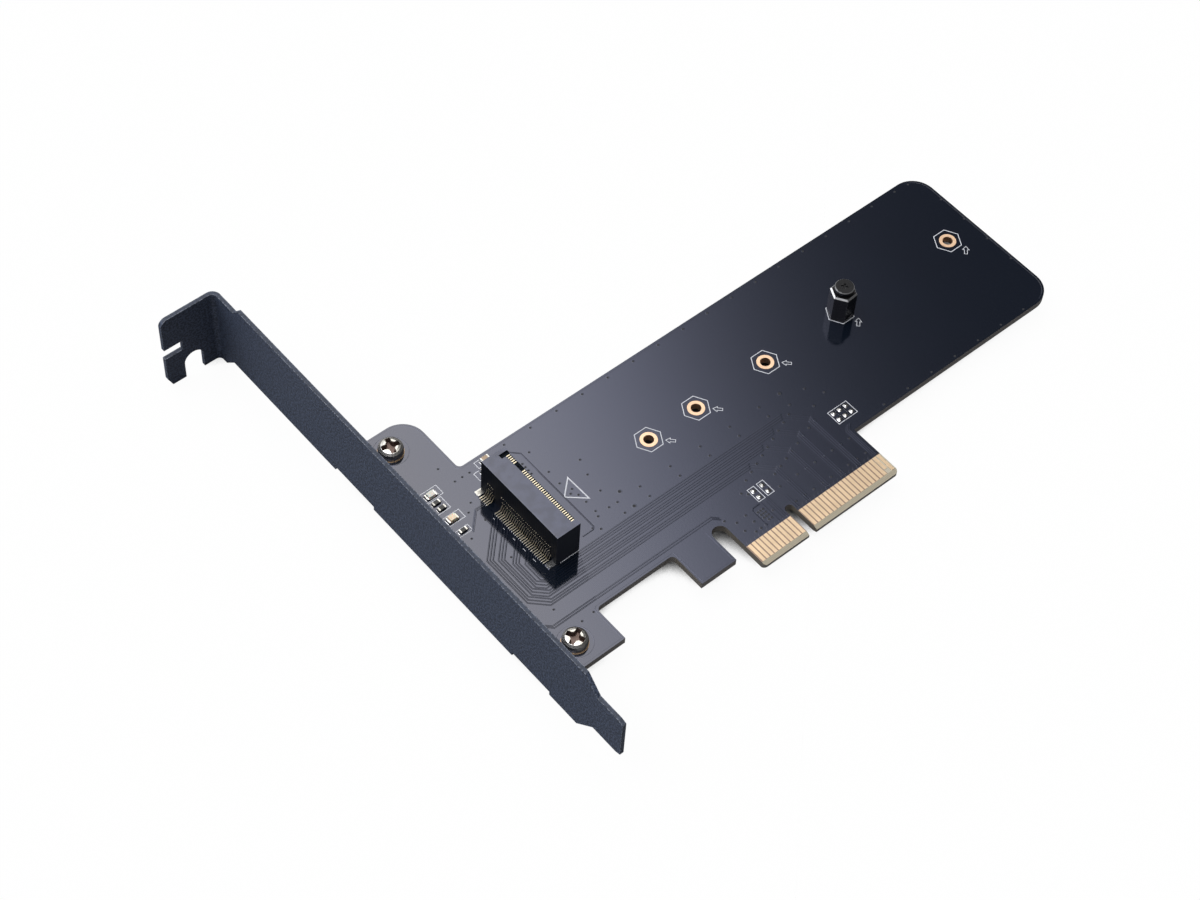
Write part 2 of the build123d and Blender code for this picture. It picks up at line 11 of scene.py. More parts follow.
import bmesh
import bpy
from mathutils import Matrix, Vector


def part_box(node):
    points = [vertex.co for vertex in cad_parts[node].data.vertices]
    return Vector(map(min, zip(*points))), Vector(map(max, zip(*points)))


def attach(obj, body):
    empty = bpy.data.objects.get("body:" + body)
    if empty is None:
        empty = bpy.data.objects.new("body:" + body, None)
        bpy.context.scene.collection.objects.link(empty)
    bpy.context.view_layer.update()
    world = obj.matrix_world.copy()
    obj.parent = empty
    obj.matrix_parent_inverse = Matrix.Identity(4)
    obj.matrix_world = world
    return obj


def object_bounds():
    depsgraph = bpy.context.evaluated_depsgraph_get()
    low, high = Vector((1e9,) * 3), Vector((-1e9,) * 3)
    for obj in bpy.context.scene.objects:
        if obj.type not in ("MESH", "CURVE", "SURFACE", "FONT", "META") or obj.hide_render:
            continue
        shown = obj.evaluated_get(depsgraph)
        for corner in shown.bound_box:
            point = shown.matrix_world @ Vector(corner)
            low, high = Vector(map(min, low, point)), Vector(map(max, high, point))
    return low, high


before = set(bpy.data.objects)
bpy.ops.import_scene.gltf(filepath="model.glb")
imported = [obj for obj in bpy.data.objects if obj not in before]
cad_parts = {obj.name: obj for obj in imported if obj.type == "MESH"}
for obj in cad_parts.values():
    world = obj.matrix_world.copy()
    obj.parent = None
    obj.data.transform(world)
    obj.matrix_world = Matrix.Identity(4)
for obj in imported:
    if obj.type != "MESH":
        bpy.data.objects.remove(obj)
CAD_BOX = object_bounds()

bl_info = {
    "name": "Drive Adapter Card",
    "version": (1, 0, 0),
    "blender": (4, 5, 0),
    "location": "View3D > Sidebar > Card",
    "description": "Dresses an expansion card: mask, traces, vias, marks, solder, metals and stage",
    "category": "Object",
}

MM = 0.001
MICRON = 0.000001
BODY = "root"


def box_mm(node):
    """Lowest and highest corner of a solid of the card, in millimetres."""
    low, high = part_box(node)
    return Vector(low) / MM, Vector(high) / MM


def middle_mm(node):
    """The middle of a solid's box, in millimetres."""
    low, high = box_mm(node)
    return (low + high) / 2


BOARD_LOW, BOARD_HIGH = box_mm("circuit_board")
BOARD_TOP = BOARD_HIGH.z
CONTACTS_LOW, CONTACTS_HIGH = box_mm("edge_contacts_front")
SOCKET_LOW, SOCKET_HIGH = box_mm("socket_housing")
DRIVE_HOLES = {length: middle_mm(f"plated_hole_{length}") for length in (30, 42, 60, 80, 110)}
CHIPS = (
    "led_upper", "led_lower", "resistor_upper", "resistor_middle", "resistor_lower",
    "capacitor_upper", "capacitor_lower",
)

# Contacts of the socket: a long row, a gap at the key, a short row
PIN_PITCH = 0.5
PIN_HALF = 0.1
LONG_ROW = 29
SHORT_ROW_START = 33

# Outline of the board that the box alone doesn't tell
CORNER = 5.0
LOBE_RIGHT = -42.4
MAIN_LOW = 12.3
MAIN_HIGH = 52.2
TONGUE_LEFT = -12.15
LATCH_LEFT = -23.9
LATCH_RIGHT = -15.45
LATCH_LOW = 4.25


# Small mesh builders, all in millimetres


def place(bm, x, y, z):
    """A vertex given in millimetres."""
    return bm.verts.new((x * MM, y * MM, z * MM))


def frame_of(low, high):
    """Corners of an upright rectangle."""
    return ((low[0], low[1]), (high[0], low[1]), (high[0], high[1]), (low[0], high[1]))


def circle(centre, reach_x, reach_y, count):
    """Places evenly round a centre, on a circle or an oval."""
    turns = [2 * math.pi * k / count for k in range(count)]
    return [(centre[0] + reach_x * math.cos(t), centre[1] + reach_y * math.sin(t)) for t in turns]


def quarter(x, y, radius, start, end, steps=6):
    """Places round a corner's centre from one angle to another."""
    turns = [start + (end - start) * k / steps for k in range(steps + 1)]
    return [(x + radius * math.cos(t), y + radius * math.sin(t)) for t in turns]


def bridge(bm, rows, closed=False):
    """Joins neighbouring rings of vertices with faces, and caps the ends of an open run."""
    following = rows[1:] + rows[:1] if closed else rows[1:]
    for first, second in zip(rows, following):
        for i in range(len(first)):
            j = (i + 1) % len(first)
            bm.faces.new((first[i], first[j], second[j], second[i]))
    if not closed:
        bm.faces.new(rows[0][::-1])
        bm.faces.new(rows[-1])


def heap(bm, rings, indices):
    """Joins rings from outside in, the last of them a single vertex, and closes the foot."""
    for outer, side_shade, index in zip(rings, rings[1:], indices):
        for k in range(len(outer)):
            n = (k + 1) % len(outer)
            far = (side_shade[0],) if len(side_shade) == 1 else (side_shade[n], side_shade[k])
            bm.faces.new((outer[k], outer[n], *far)).material_index = index
    bm.faces.new(rings[0][::-1]).material_index = indices[0]


def even_profile(low_wide, top_wide, low_z, top_z):
    """A line's section with two equal sloping sides, as (offset to the left, height)."""
    return ((low_wide / 2, low_z), (top_wide / 2, top_z), (-top_wide / 2, top_z), (-low_wide / 2, low_z))


def add_ribbon(bm, points, profile, closed=False):
    """A flat line of this section with mitred corners along points in the card's plane.

    A point may have a third number, the share of the section's height there.
    """
    path = [Vector(point[:2]) for point in points]
    shares = [point[2] if len(point) > 2 else 1.0 for point in points]
    foot = profile[0][1]
    last = len(path) - 1
    rows = []
    for i, point in enumerate(path):
        runs = []
        if i or closed:
            runs.append((point - path[i - 1]).normalized())
        if i < last or closed:
            runs.append((path[(i + 1) % len(path)] - point).normalized())
        along = sum(runs, Vector((0, 0))).normalized()
        across = Vector((-along.y, along.x)) / along.dot(runs[0])
        ring = []
        for side, z in profile:
            edge = point + across * side
            ring.append(place(bm, edge.x, edge.y, foot + (z - foot) * shares[i]))
        rows.append(ring)
    bridge(bm, rows, closed)


def add_turned(bm, centre, profile, steps, indices):
    """A round form about a vertical axis: profile is (radius, height) from outside in."""
    rings = []
    for radius, z in profile:
        spots = circle(centre, radius, radius, steps) if radius else [centre]
        rings.append([place(bm, x, y, z) for x, y in spots])
    heap(bm, rings, indices)


def add_mound(bm, centre, reach_x, reach_y, tall, steps, levels):
    """A low dome of solder with an oval foot."""
    rings = []
    for level in range(levels):
        rise = math.pi / 2 * level / levels
        spots = circle(centre, reach_x * math.cos(rise), reach_y * math.cos(rise), steps)
        rings.append([place(bm, x, y, centre[2] + tall * math.sin(rise)) for x, y in spots])
    rings.append([place(bm, centre[0], centre[1], centre[2] + tall)])
    heap(bm, rings, [0] * levels)


def add_block(bm, low, high, slope):
    """A block whose top is smaller than its foot by slope on each side."""
    rows = []
    for z, inset in ((low[2], 0.0), (high[2], slope)):
        corners = frame_of((low[0] + inset, low[1] + inset), (high[0] - inset, high[1] - inset))
        rows.append([place(bm, x, y, z) for x, y in corners])
    bridge(bm, rows)


def add_shoulder(bm, y, z, leg_x):
    """The bent shoulder of a contact, sloping out from its leg to the socket's back."""
    front, slant, half, tall = SOCKET_LOW.x + 0.02, 0.24, PIN_HALF * 0.9, 0.14
    outline = ((front, z - tall), (front + slant, z + tall), (leg_x, z + tall), (leg_x, z - tall))
    bridge(bm, [[place(bm, x, side, high) for x, high in outline] for side in (y - half, y + half)])


def add_joint(bm, x, y, out, wide, tall, reach=0.34, sink=0.02, film=0.004, steps=6):
    """A concave fillet of solder that climbs a chip's end and thins out over its pad.

    It starts sink inside the end at x and runs out along X, forwards if out is 1 and
    backwards if it is -1, until only film is left.
    """
    rows = []
    for i in range(steps + 1):
        share = i / steps
        high = BOARD_TOP + tall * (1 - share) ** 2.2
        half = wide / 2 * (1 - 0.12 * share * share)
        section = ((-half, BOARD_TOP), (-half * 0.86, high), (half * 0.86, high), (half, BOARD_TOP))
        ring = []
        for side, z in section:
            z = max(z, BOARD_TOP + film) if z == high else z
            ring.append(place(bm, x + out * (reach * share - sink), y + side, z))
        rows.append(ring)
    bridge(bm, rows)


def add_piece(name, bm, materials, smooth=False):
    """Turns a mesh in the making into a piece that rides on the card."""
    bmesh.ops.recalc_face_normals(bm, faces=bm.faces)
    mesh = bpy.data.meshes.new(name)
    bm.to_mesh(mesh)
    bm.free()
    piece = bpy.data.objects.new(name, mesh)
    bpy.context.scene.collection.objects.link(piece)
    for material in materials:
        mesh.materials.append(material)
    if smooth:
        mesh.shade_smooth()
    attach(piece, BODY)
    return piece


# Short calls for building node trees


def node(tree, kind, inputs=None, **settings):
    """Adds a node, sets it, and links or fills its inputs by name or number."""
    made = tree.nodes.new(kind)
    for name, value in settings.items():
        setattr(made, name, value)
    for name, value in (inputs or {}).items():
        if isinstance(value, bpy.types.NodeSocket):
            tree.links.new(value, made.inputs[name])
        else:
            made.inputs[name].default_value = value
    return made


def calc(tree, operation, first, second=0.5, third=0.0):
    """The result of one math node."""
    inputs = {0: first, 1: second, 2: third}
    return node(tree, "ShaderNodeMath", inputs, operation=operation).outputs[0]


def ramp(tree, value, start, end, low=0.0, high=1.0):
    """Runs smoothly from low at start to high at end."""
    inputs = {"Value": value, "From Min": start, "From Max": end, "To Min": low, "To Max": high}
    made = node(tree, "ShaderNodeMapRange", inputs, interpolation_type="SMOOTHSTEP")
    return made.outputs["Result"]


def mixed(tree, factor, first, second):
    """A colour between first and second."""
    made = node(tree, "ShaderNodeMix", {"Factor": factor}, data_type="RGBA")
    for socket, value in ((made.inputs[6], first), (made.inputs[7], second)):
        if isinstance(value, bpy.types.NodeSocket):
            tree.links.new(value, socket)
        else:
            socket.default_value = (*value, 1.0)
    return made.outputs[2]


def scaled(colour, share):
    """A darker or lighter tone of a colour."""
    return [c * share for c in colour]


def spread(tree, factor, first, second):
    """A number between first and second."""
    inputs = {"Value": factor, "To Min": first, "To Max": second}
    return node(tree, "ShaderNodeMapRange", inputs).outputs["Result"]


def own_place(tree):
    """Texture coordinates that stay with the card, and their X, Y and Z."""
    coords = node(tree, "ShaderNodeTexCoord")
    split = node(tree, "ShaderNodeSeparateXYZ", {0: coords.outputs["Object"]})
    return coords, split.outputs


def facing(tree, coords, axis="Z"):
    """How far a face looks along an axis, from 0 to 1, whatever the sign."""
    split = node(tree, "ShaderNodeSeparateXYZ", {0: coords.outputs["Normal"]})
    return calc(tree, "ABSOLUTE", split.outputs[axis])


def start_material(name, **constants):
    """A material with its shader; constants are the shader's own fixed values."""
    material = bpy.data.materials.new(name)
    material.use_nodes = True
    tree = material.node_tree
    tree.nodes.clear()
    shader = tree.nodes.new("ShaderNodeBsdfPrincipled")
    out = tree.nodes.new("ShaderNodeOutputMaterial")
    tree.links.new(shader.outputs[0], out.inputs["Surface"])
    for socket, value in constants.items():
        shader.inputs[socket.replace("_", " ")].default_value = value
    return material, tree, shader


def start_group(name, inputs, outputs):
    """A node group with float inputs (name, default) and float outputs."""
    tree = bpy.data.node_groups.new(name, "ShaderNodeTree")
    for title, default in inputs:
        socket = tree.interface.new_socket(name=title, in_out="INPUT", socket_type="NodeSocketFloat")
        socket.default_value = default
    for title in outputs:
        tree.interface.new_socket(name=title, in_out="OUTPUT", socket_type="NodeSocketFloat")
    return tree, tree.nodes.new("NodeGroupInput"), tree.nodes.new("NodeGroupOutput")


def grain_group():
    """Two sizes of mottling over a surface: a broad Shade and a fine Height."""
    found = bpy.data.node_groups.get("surface_grain")
    if found:
        return found
    tree, given, result = start_group(
        "surface_grain", [("Broad", 60.0), ("Fine", 3000.0)], ["Shade", "Height"]
    )
    coords = node(tree, "ShaderNodeTexCoord")
    broad = {"Vector": coords.outputs["Object"], "Scale": given.outputs["Broad"], "Detail": 3.0}
    fine = {"Vector": coords.outputs["Object"], "Scale": given.outputs["Fine"], "Detail": 2.0}
    tree.links.new(node(tree, "ShaderNodeTexNoise", broad).outputs["Fac"], result.inputs["Shade"])
    tree.links.new(node(tree, "ShaderNodeTexNoise", fine).outputs["Fac"], result.inputs["Height"])
    return tree


def edge_group():
    """A mask that is 1 along sharp edges and falls off within Reach metres."""
    found = bpy.data.node_groups.get("edge_line")
    if found:
        return found
    tree, given, result = start_group(
        "edge_line", [("Reach", 0.0003), ("Low", 0.02), ("High", 0.2)], ["Mask"]
    )
    rounded = node(tree, "ShaderNodeBevel", {"Radius": given.outputs["Reach"]}, samples=6)
    plain = node(tree, "ShaderNodeNewGeometry")
    normals = {0: rounded.outputs[0], 1: plain.outputs["Normal"]}
    alike = node(tree, "ShaderNodeVectorMath", normals, operation="DOT_PRODUCT")
    unlike = calc(tree, "SUBTRACT", 1.0, alike.outputs["Value"])
    mask = ramp(tree, unlike, given.outputs["Low"], given.outputs["High"])
    tree.links.new(mask, result.inputs["Mask"])
    return tree


def grain(tree, broad, fine):
    """Shade and Height of the mottling, at these scales."""
    made = node(tree, "ShaderNodeGroup", node_tree=grain_group())
    made.inputs["Broad"].default_value = broad
    made.inputs["Fine"].default_value = fine
    return made.outputs["Shade"], made.outputs["Height"]


def edges(tree, reach, low=0.02, high=0.2):
    """The mask along sharp edges."""
    made = node(tree, "ShaderNodeGroup", node_tree=edge_group())
    for title, value in (("Reach", reach), ("Low", low), ("High", high)):
        made.inputs[title].default_value = value
    return made.outputs["Mask"]


def bump(tree, shader, height, distance, strength=1.0):
    """Feeds a height to the shader's normal."""
    made = node(tree, "ShaderNodeBump", {"Height": height, "Distance": distance, "Strength": strength})
    tree.links.new(made.outputs[0], shader.inputs["Normal"])


def feed(tree, shader, **sockets):
    """Links outputs to the shader's inputs; an underscore stands for a space."""
    for name, value in sockets.items():
        tree.links.new(value, shader.inputs[name.replace("_", " ")])


# Finishes; every one takes the name of its material first


def mask_finish(name, looks):
    """Glossy dark solder mask on both faces, bare laminate on the edges and round the contacts."""
    material, tree, shader = start_material(
        name, IOR=looks.mask_ior, Specular_Tint=(*looks.mask_sheen, 1.0)
    )
    coords, (x, y, _) = own_place(tree)
    side = ramp(tree, facing(tree, coords), 0.6, 0.4)
    # The mask stops just above the contacts, on the tongue alone
    below = ramp(tree, y, (CONTACTS_HIGH.y + 0.1) * MM, CONTACTS_HIGH.y * MM)
    beside = ramp(tree, x, (TONGUE_LEFT - 1.2) * MM, (TONGUE_LEFT - 1.0) * MM)
    bare = calc(tree, "MAXIMUM", side, calc(tree, "MULTIPLY", below, beside))
    weave = []
    for direction in ("X", "Y"):
        inputs = {"Vector": coords.outputs["Object"], "Scale": 1100.0, "Distortion": 0.6}
        weave.append(node(tree, "ShaderNodeTexWave", inputs, bands_direction=direction).outputs["Fac"])
    cloth = calc(tree, "MULTIPLY", weave[0], weave[1])
    shade, fine = grain(tree, 45.0, 2500.0)
    # Between the contacts the resin is browner, but not past the short one at the end
    between = ramp(tree, y, (CONTACTS_LOW.y - 0.05) * MM, (CONTACTS_LOW.y + 0.05) * MM)
    past = ramp(tree, x, (CONTACTS_HIGH.x - 1.9) * MM, (CONTACTS_HIGH.x - 1.8) * MM)
    between = calc(tree, "MULTIPLY", between, calc(tree, "SUBTRACT", 1.0, past))
    resin = mixed(tree, cloth, scaled(looks.laminate, 0.75), looks.laminate)
    resin = mixed(tree, between, resin, looks.resin_gap)
    wall = mixed(tree, side, resin, looks.laminate_dark)
    ink = mixed(tree, shade, looks.mask, scaled(looks.mask, 1.5))
    roughness = spread(tree, bare, looks.mask_roughness, 0.55)
    feed(tree, shader, Base_Color=mixed(tree, bare, ink, wall), Roughness=roughness)
    bump(tree, shader, calc(tree, "MULTIPLY_ADD", cloth, 0.3, fine), 1.5 * MICRON)
    return material


def gold_finish(name, colour, roughness, worn, looks):
    """Plated gold with fine rubbing marks; worn is how dark its edges are."""
    material, tree, shader = start_material(name, Metallic=1.0)
    coords = node(tree, "ShaderNodeTexCoord")
    rubbed = {"Vector": coords.outputs["Object"], "Scale": 5200.0, "Distortion": 3.0, "Detail": 2.0}
    lines = node(tree, "ShaderNodeTexWave", rubbed, bands_direction="X").outputs["Fac"]
    shade, fine = grain(tree, 220.0, 2600.0)
    line = calc(tree, "MULTIPLY", edges(tree, 0.06 * MM), worn)
    plain = mixed(tree, ramp(tree, shade, 0.35, 0.7), colour, scaled(colour, 0.86))
    roughness = spread(tree, shade, roughness, roughness + 0.14)
    feed(tree, shader, Base_Color=mixed(tree, line, plain, looks.gold_worn), Roughness=roughness)
    bump(tree, shader, calc(tree, "MULTIPLY_ADD", lines, 0.4, fine), 1.5 * MICRON)
    return material


def pin_finish(name, colour, roughness, looks):
    """Plated contacts: bright along their length, with painted shade on the sides that face each other.
    """
    material, tree, shader = start_material(name, Metallic=1.0)
    coords = node(tree, "ShaderNodeTexCoord")
    shade, fine = grain(tree, 700.0, 5000.0)
    # The sides that face the next contact get a dark colour: painted shade between the contacts.
    side_shade = ramp(tree, facing(tree, coords, "Y"), 0.5, 0.8)
    plain = mixed(tree, ramp(tree, shade, 0.35, 0.7), colour, scaled(colour, 0.8))
    roughness = spread(tree, side_shade, roughness, 0.6)
    feed(tree, shader, Base_Color=mixed(tree, side_shade, plain, looks.pin_side_shade), Roughness=roughness)
    bump(tree, shader, fine, 1.5 * MICRON)
    return material


def coat_finish(name, looks):
    """Fine textured powder coat, rubbed lighter in specks along its edges, with painted shade on faces
    that look along Z.
    """
    material, tree, shader = start_material(name, IOR=1.33)
    coords = node(tree, "ShaderNodeTexCoord")
    shade, fine = grain(tree, 300.0, 2400.0)
    specks = {"Vector": coords.outputs["Object"], "Scale": 2600.0, "Randomness": 1.0}
    cells = node(tree, "ShaderNodeTexVoronoi", specks).outputs["Distance"]
    pits = ramp(tree, fine, 0.4, 0.6)
    dotted = calc(tree, "MULTIPLY", edges(tree, 0.4 * MM, 0.01, 0.22), pits)
    plain = mixed(tree, pits, scaled(looks.coat, 0.5), scaled(looks.coat, 1.45))
    toned = mixed(tree, calc(tree, "MULTIPLY", shade, 0.3), plain, scaled(looks.coat, 1.35))
    # Faces that look up or down along Z are darkened: painted shade on the bracket's edges.
    level = ramp(tree, facing(tree, coords), 0.6, 0.9)
    toned = mixed(tree, calc(tree, "MULTIPLY", level, 0.7), toned, looks.coat_edge_shade)
    colour = mixed(tree, calc(tree, "MULTIPLY", dotted, 0.85), toned, looks.coat_worn)
    feed(tree, shader, Base_Color=colour, Roughness=spread(tree, fine, 0.45, 0.68))
    bump(tree, shader, calc(tree, "ADD", fine, cells), 30 * MICRON, 0.7)
    return material


def nickel_finish(name, centre, top_z, looks):
    """Nickel plate with turned marks and painted shade in the recess about the screw's axis."""
    material, tree, shader = start_material(name, Metallic=1.0)
    _, (x, y, z) = own_place(tree)
    off_x = calc(tree, "SUBTRACT", x, centre.x * MM)
    off_y = calc(tree, "SUBTRACT", y, centre.y * MM)
    squares = calc(tree, "MULTIPLY_ADD", off_x, off_x, calc(tree, "MULTIPLY", off_y, off_y))
    away = calc(tree, "SQRT", squares)
    turned = calc(tree, "SINE", calc(tree, "MULTIPLY", away, 45000.0))
    deep = ramp(tree, z, (top_z - 0.12) * MM, (top_z - 0.5) * MM)
    # Down in the recess the nickel is darkened: painted shade.
    inside = calc(tree, "MULTIPLY", deep, ramp(tree, away, 1.9 * MM, 1.7 * MM))
    shade, fine = grain(tree, 500.0, 5000.0)
    plain = mixed(tree, shade, looks.nickel, scaled(looks.nickel, 0.8))
    roughness = spread(tree, inside, 0.36, 0.55)
    feed(tree, shader, Base_Color=mixed(tree, inside, plain, looks.recess), Roughness=roughness)
    bump(tree, shader, calc(tree, "MULTIPLY_ADD", turned, 0.25, fine), 1.5 * MICRON)
    return material


def black_metal_finish(name, shine, looks):
    """Black plating; shine is how bright its chamfered rim is rubbed."""
    material, tree, shader = start_material(name)
    level = facing(tree, node(tree, "ShaderNodeTexCoord"))
    slope = calc(tree, "MULTIPLY", ramp(tree, level, 0.25, 0.4), ramp(tree, level, 0.97, 0.85))
    shade, fine = grain(tree, 400.0, 4200.0)
    line = calc(tree, "MULTIPLY", edges(tree, 0.08 * MM, 0.02, 0.15), 0.35 * shine)
    rubbed = calc(tree, "MAXIMUM", calc(tree, "MULTIPLY", slope, shine), line)
    feed(
        tree,
        shader,
        Base_Color=mixed(tree, rubbed, looks.black_metal, looks.rubbed_metal),
        Metallic=spread(tree, rubbed, 0.45, 1.0),
        Roughness=spread(tree, shade, 0.2, 0.34),
    )
    bump(tree, shader, fine, 4 * MICRON)
    return material


def socket_finish(name, looks):
    """Moulded black plastic: a glossy mottled lid, duller sides with a painted highlight along a rib for
    each contact, and painted light on the ends.
    """
    material, tree, shader = start_material(name, IOR=1.1, Coat_IOR=1.95, Coat_Roughness=0.14)
    coords, (_, y, z) = own_place(tree)
    up = ramp(tree, facing(tree, coords), 0.8, 0.95)
    high = ramp(tree, z, (SOCKET_HIGH.z - 0.3) * MM, (SOCKET_HIGH.z - 0.1) * MM)
    lid = calc(tree, "MULTIPLY", up, high)
    shade, fine = grain(tree, 520.0, 3800.0)
    blotch = ramp(tree, shade, 0.38, 0.62)
    turn = 2 * math.pi / (PIN_PITCH * MM)
    # Lighter stripes at the contacts' pitch: painted highlights on the ribs.
    rib_highlights = ramp(tree, calc(tree, "SINE", calc(tree, "MULTIPLY", y, turn)), 0.5, 0.95)
    # The ends that face along Y get a lighter colour: painted light.
    end = ramp(tree, facing(tree, coords, "Y"), 0.6, 0.9)
    wall = mixed(tree, rib_highlights, looks.socket, scaled(looks.socket, 3.0))
    wall = mixed(tree, end, wall, looks.socket_end_light)
    top = mixed(tree, blotch, looks.lid, scaled(looks.lid, 0.8))
    feed(
        tree,
        shader,
        Base_Color=mixed(tree, lid, wall, top),
        Roughness=spread(tree, lid, 0.55, 0.3),
        Coat_Weight=calc(tree, "MULTIPLY", lid, spread(tree, blotch, 0.72, 0.65)),
    )
    bump(tree, shader, fine, 4 * MICRON)
    return material


def solder_finish(name, bright, looks):
    """Tinned metal with a rippled, partly dulled skin; bright scales its colours."""
    material, tree, shader = start_material(name, Metallic=1.0)
    shade, fine = grain(tree, 900.0, 4200.0)
    dulled = ramp(tree, shade, 0.4, 0.65)
    colour = mixed(tree, dulled, scaled(looks.solder, bright), scaled(looks.solder_dull, bright))
    feed(tree, shader, Base_Color=colour, Roughness=spread(tree, shade, 0.16, 0.34))
    bump(tree, shader, calc(tree, "MULTIPLY_ADD", shade, 4.0, fine), 10 * MICRON, 0.8)
    return material


def ink_finish(name, looks):
    """Screen printed ink, a little thin in places."""
    material, tree, shader = start_material(name, Roughness=0.45)
    shade, fine = grain(tree, 700.0, 6500.0)
    thin = calc(tree, "MULTIPLY", ramp(tree, fine, 0.62, 0.3), shade)
    feed(tree, shader, Base_Color=mixed(tree, thin, looks.ink, scaled(looks.ink, 0.68)))
    bump(tree, shader, fine, 6 * MICRON)
    return material


def lens_finish(name, colour):
    """Milky moulded resin of a light emitting diode."""
    material, tree, shader = start_material(
        name, Roughness=0.3, Subsurface_Weight=0.2, Subsurface_Scale=0.4 * MM
    )
    shade, fine = grain(tree, 1400.0, 7000.0)
    feed(tree, shader, Base_Color=mixed(tree, shade, colour, scaled(colour, 0.82)))
    bump(tree, shader, fine, 3 * MICRON)
    return material


def ceramic_finish(name, colour, roughness):
    """Fired ceramic or glaze of a chip part."""
    material, tree, shader = start_material(name)
    shade, fine = grain(tree, 1800.0, 9000.0)
    specks = mixed(tree, ramp(tree, fine, 0.4, 0.7), colour, scaled(colour, 1.35))
    feed(tree, shader, Base_Color=specks, Roughness=spread(tree, shade, roughness, roughness + 0.2))
    bump(tree, shader, fine, 4 * MICRON)
    return material


def void_finish(name, looks):
    """The dark inside of a tented via."""
    material, tree, shader = start_material(name, Roughness=0.7)
    shade, fine = grain(tree, 900.0, 6000.0)
    feed(tree, shader, Base_Color=mixed(tree, shade, looks.via_deep, looks.via_inside))
    bump(tree, shader, fine, 4 * MICRON)
    return material


def material_of(name, make, *details):
    """The material of that name, made the first time it is asked for."""
    return bpy.data.materials.get(name) or make(name, *details)


def dress(node_name, material):
    """Gives a solid of the card its finish."""
    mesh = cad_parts[node_name].data
    mesh.materials.clear()
    mesh.materials.append(material)


# Places read off the card, in millimetres

BUNDLE_PITCH = 0.48
BUNDLE_LINES = 3
# How much of its height a line keeps in the slanted bend, and how long it takes to sink
BEND_SHARE = 0.03
BEND_LEAD = 0.3
# Each bundle: where it leaves the socket, its run beside the bracket, its long run along
# the card, and the upright run that ends at the contacts
BUNDLES = (
    {"leave_y": 39.3, "beside_x": -50.9, "along_y": 18.41, "down_x": 4.24, "bend": 3.4},
    {"leave_y": 36.4, "beside_x": -49.2, "along_y": 20.08, "down_x": 9.2, "bend": 3.5},
    {"leave_y": 32.6, "beside_x": -47.6, "along_y": 21.68, "down_x": 13.18, "bend": 3.3},
    {"leave_y": 29.4, "beside_x": -45.9, "along_y": 23.26, "down_x": 17.23, "bend": 3.7},
)
BUNDLE_LEAVE_X = -43.9
BUNDLE_END_Y = 5.9
# Corners of the printed triangle behind the socket
TRIANGLE = ((-27.83, 37.78), (-31.16, 34.74), (-27.72, 31.69))
# Rows of vias: the first, the last, and how many
VIA_ROWS = (
    ((-32.4, 51.1), (70.6, 51.2), 17),
    ((74.2, 50.9), (74.2, 50.9), 1),
    ((76.7, 43.8), (76.7, 23.8), 4),
    ((30.9, 13.1), (69.2, 12.9), 7),
    ((-18.6, 27.8), (11.4, 27.6), 5),
    ((-18.6, 25.0), (11.4, 24.9), 5),
    ((-2.1, 16.4), (14.8, 22.8), 9),
    ((3.2, 14.1), (17.7, 18.7), 8),
    ((2.0, 11.4), (20.0, 11.4), 9),
    ((2.1, 7.0), (20.1, 7.0), 9),
    ((-8.4, 6.6), (-5.9, 6.6), 3),
    ((-5.25, 9.6), (-4.0, 9.6), 3),
    ((-5.15, 8.8), (-4.0, 8.8), 3),
    ((-5.15, 8.0), (-4.0, 8.0), 3),
    ((-4.65, 7.15), (-4.0, 7.15), 2),
    ((-44.9, 50.2), (-41.5, 50.1), 3),
    ((-32.5, 45.5), (-32.6, 42.7), 4),
    ((-28.9, 35.3), (-28.8, 33.5), 2),
)
LONE_VIAS = (
    (-45.6, 54.4), (-47.3, 43.1), (-45.6, 44.6), (-50.5, 38.2), (-45.9, 39.9), (-47.4, 30.5),
    (-48.6, 16.9), (-46.2, 11.8), (-43.3, 12.0), (-29.8, 46.8), (-29.8, 41.0), (-29.9, 37.7),
    (-29.8, 34.6), (-28.7, 31.4), (-28.7, 28.7), (-29.1, 27.5), (-26.2, 27.8), (-24.2, 27.7),
    (-24.7, 25.0), (-30.5, 25.0), (-31.6, 26.1), (-33.3, 45.4), (-25.0, 31.7), (-23.4, 39.5),
    (-24.5, 36.0), (16.5, 24.4), (21.4, 25.5), (23.8, 22.5), (20.0, 21.3), (-4.8, 14.7),
    (-3.9, 13.8), (-11.5, 12.0), (-9.9, 10.3), (-7.5, 10.5), (-7.2, 8.5), (-9.9, 8.0),
    (-2.7, 8.2),
)
WIDE_VIAS = ((-22.3, 29.3), (-22.3, 25.1), (16.8, 27.6))
WIDE_VIA = 1.45
# Height of a via's rim, and how far its inside lies below it
VIA_RIM = 0.0025
VIA_SINK = 0.001
# Lines outside the bundles: the route of the first, the step to the next, and how many
LINES = (
    (((-52.6, 15.9), (-51.0, 14.3), (-12.9, 14.3), (-11.7, 13.1)), (0.0, -0.5), 2),
    (((-49.3, 39.5), (-45.9, 42.9), (-43.9, 42.9)), (0.0, -0.36), 2),
    (((-33.0, 49.4), (-31.2, 47.6), (-31.2, 26.3), (-31.7, 25.8), (-34.2, 25.8)), (0.0, 0.0), 1),
    (((21.7, 13.9), (20.7, 12.9), (20.7, 5.5)), (0.4, 0.0), 3),
    (((-3.6, 10.85), (-5.4, 10.85), (-5.85, 10.4), (-5.85, 6.2)), (0.0, 0.0), 1),
)
# Lines straight up from the contacts: their X, and how high they reach
UPRIGHTS = ((1.2, 9.2), (1.7, 9.2), (-1.45, 11.0), (-1.85, 11.0), (-2.4, 10.6), (-3.3, 11.0))
UPRIGHT_FOOT = 5.8
# Faint necks of the edge contacts, one a millimetre from the first contact's middle
NECKS = 32
FIRST_NECK = 0.37
KEY_HALF = 1.0
# How far the copper stays inside the board's edge, and its radius round a screw
MARGIN = 0.42
SCREW_RADIUS = 3.45
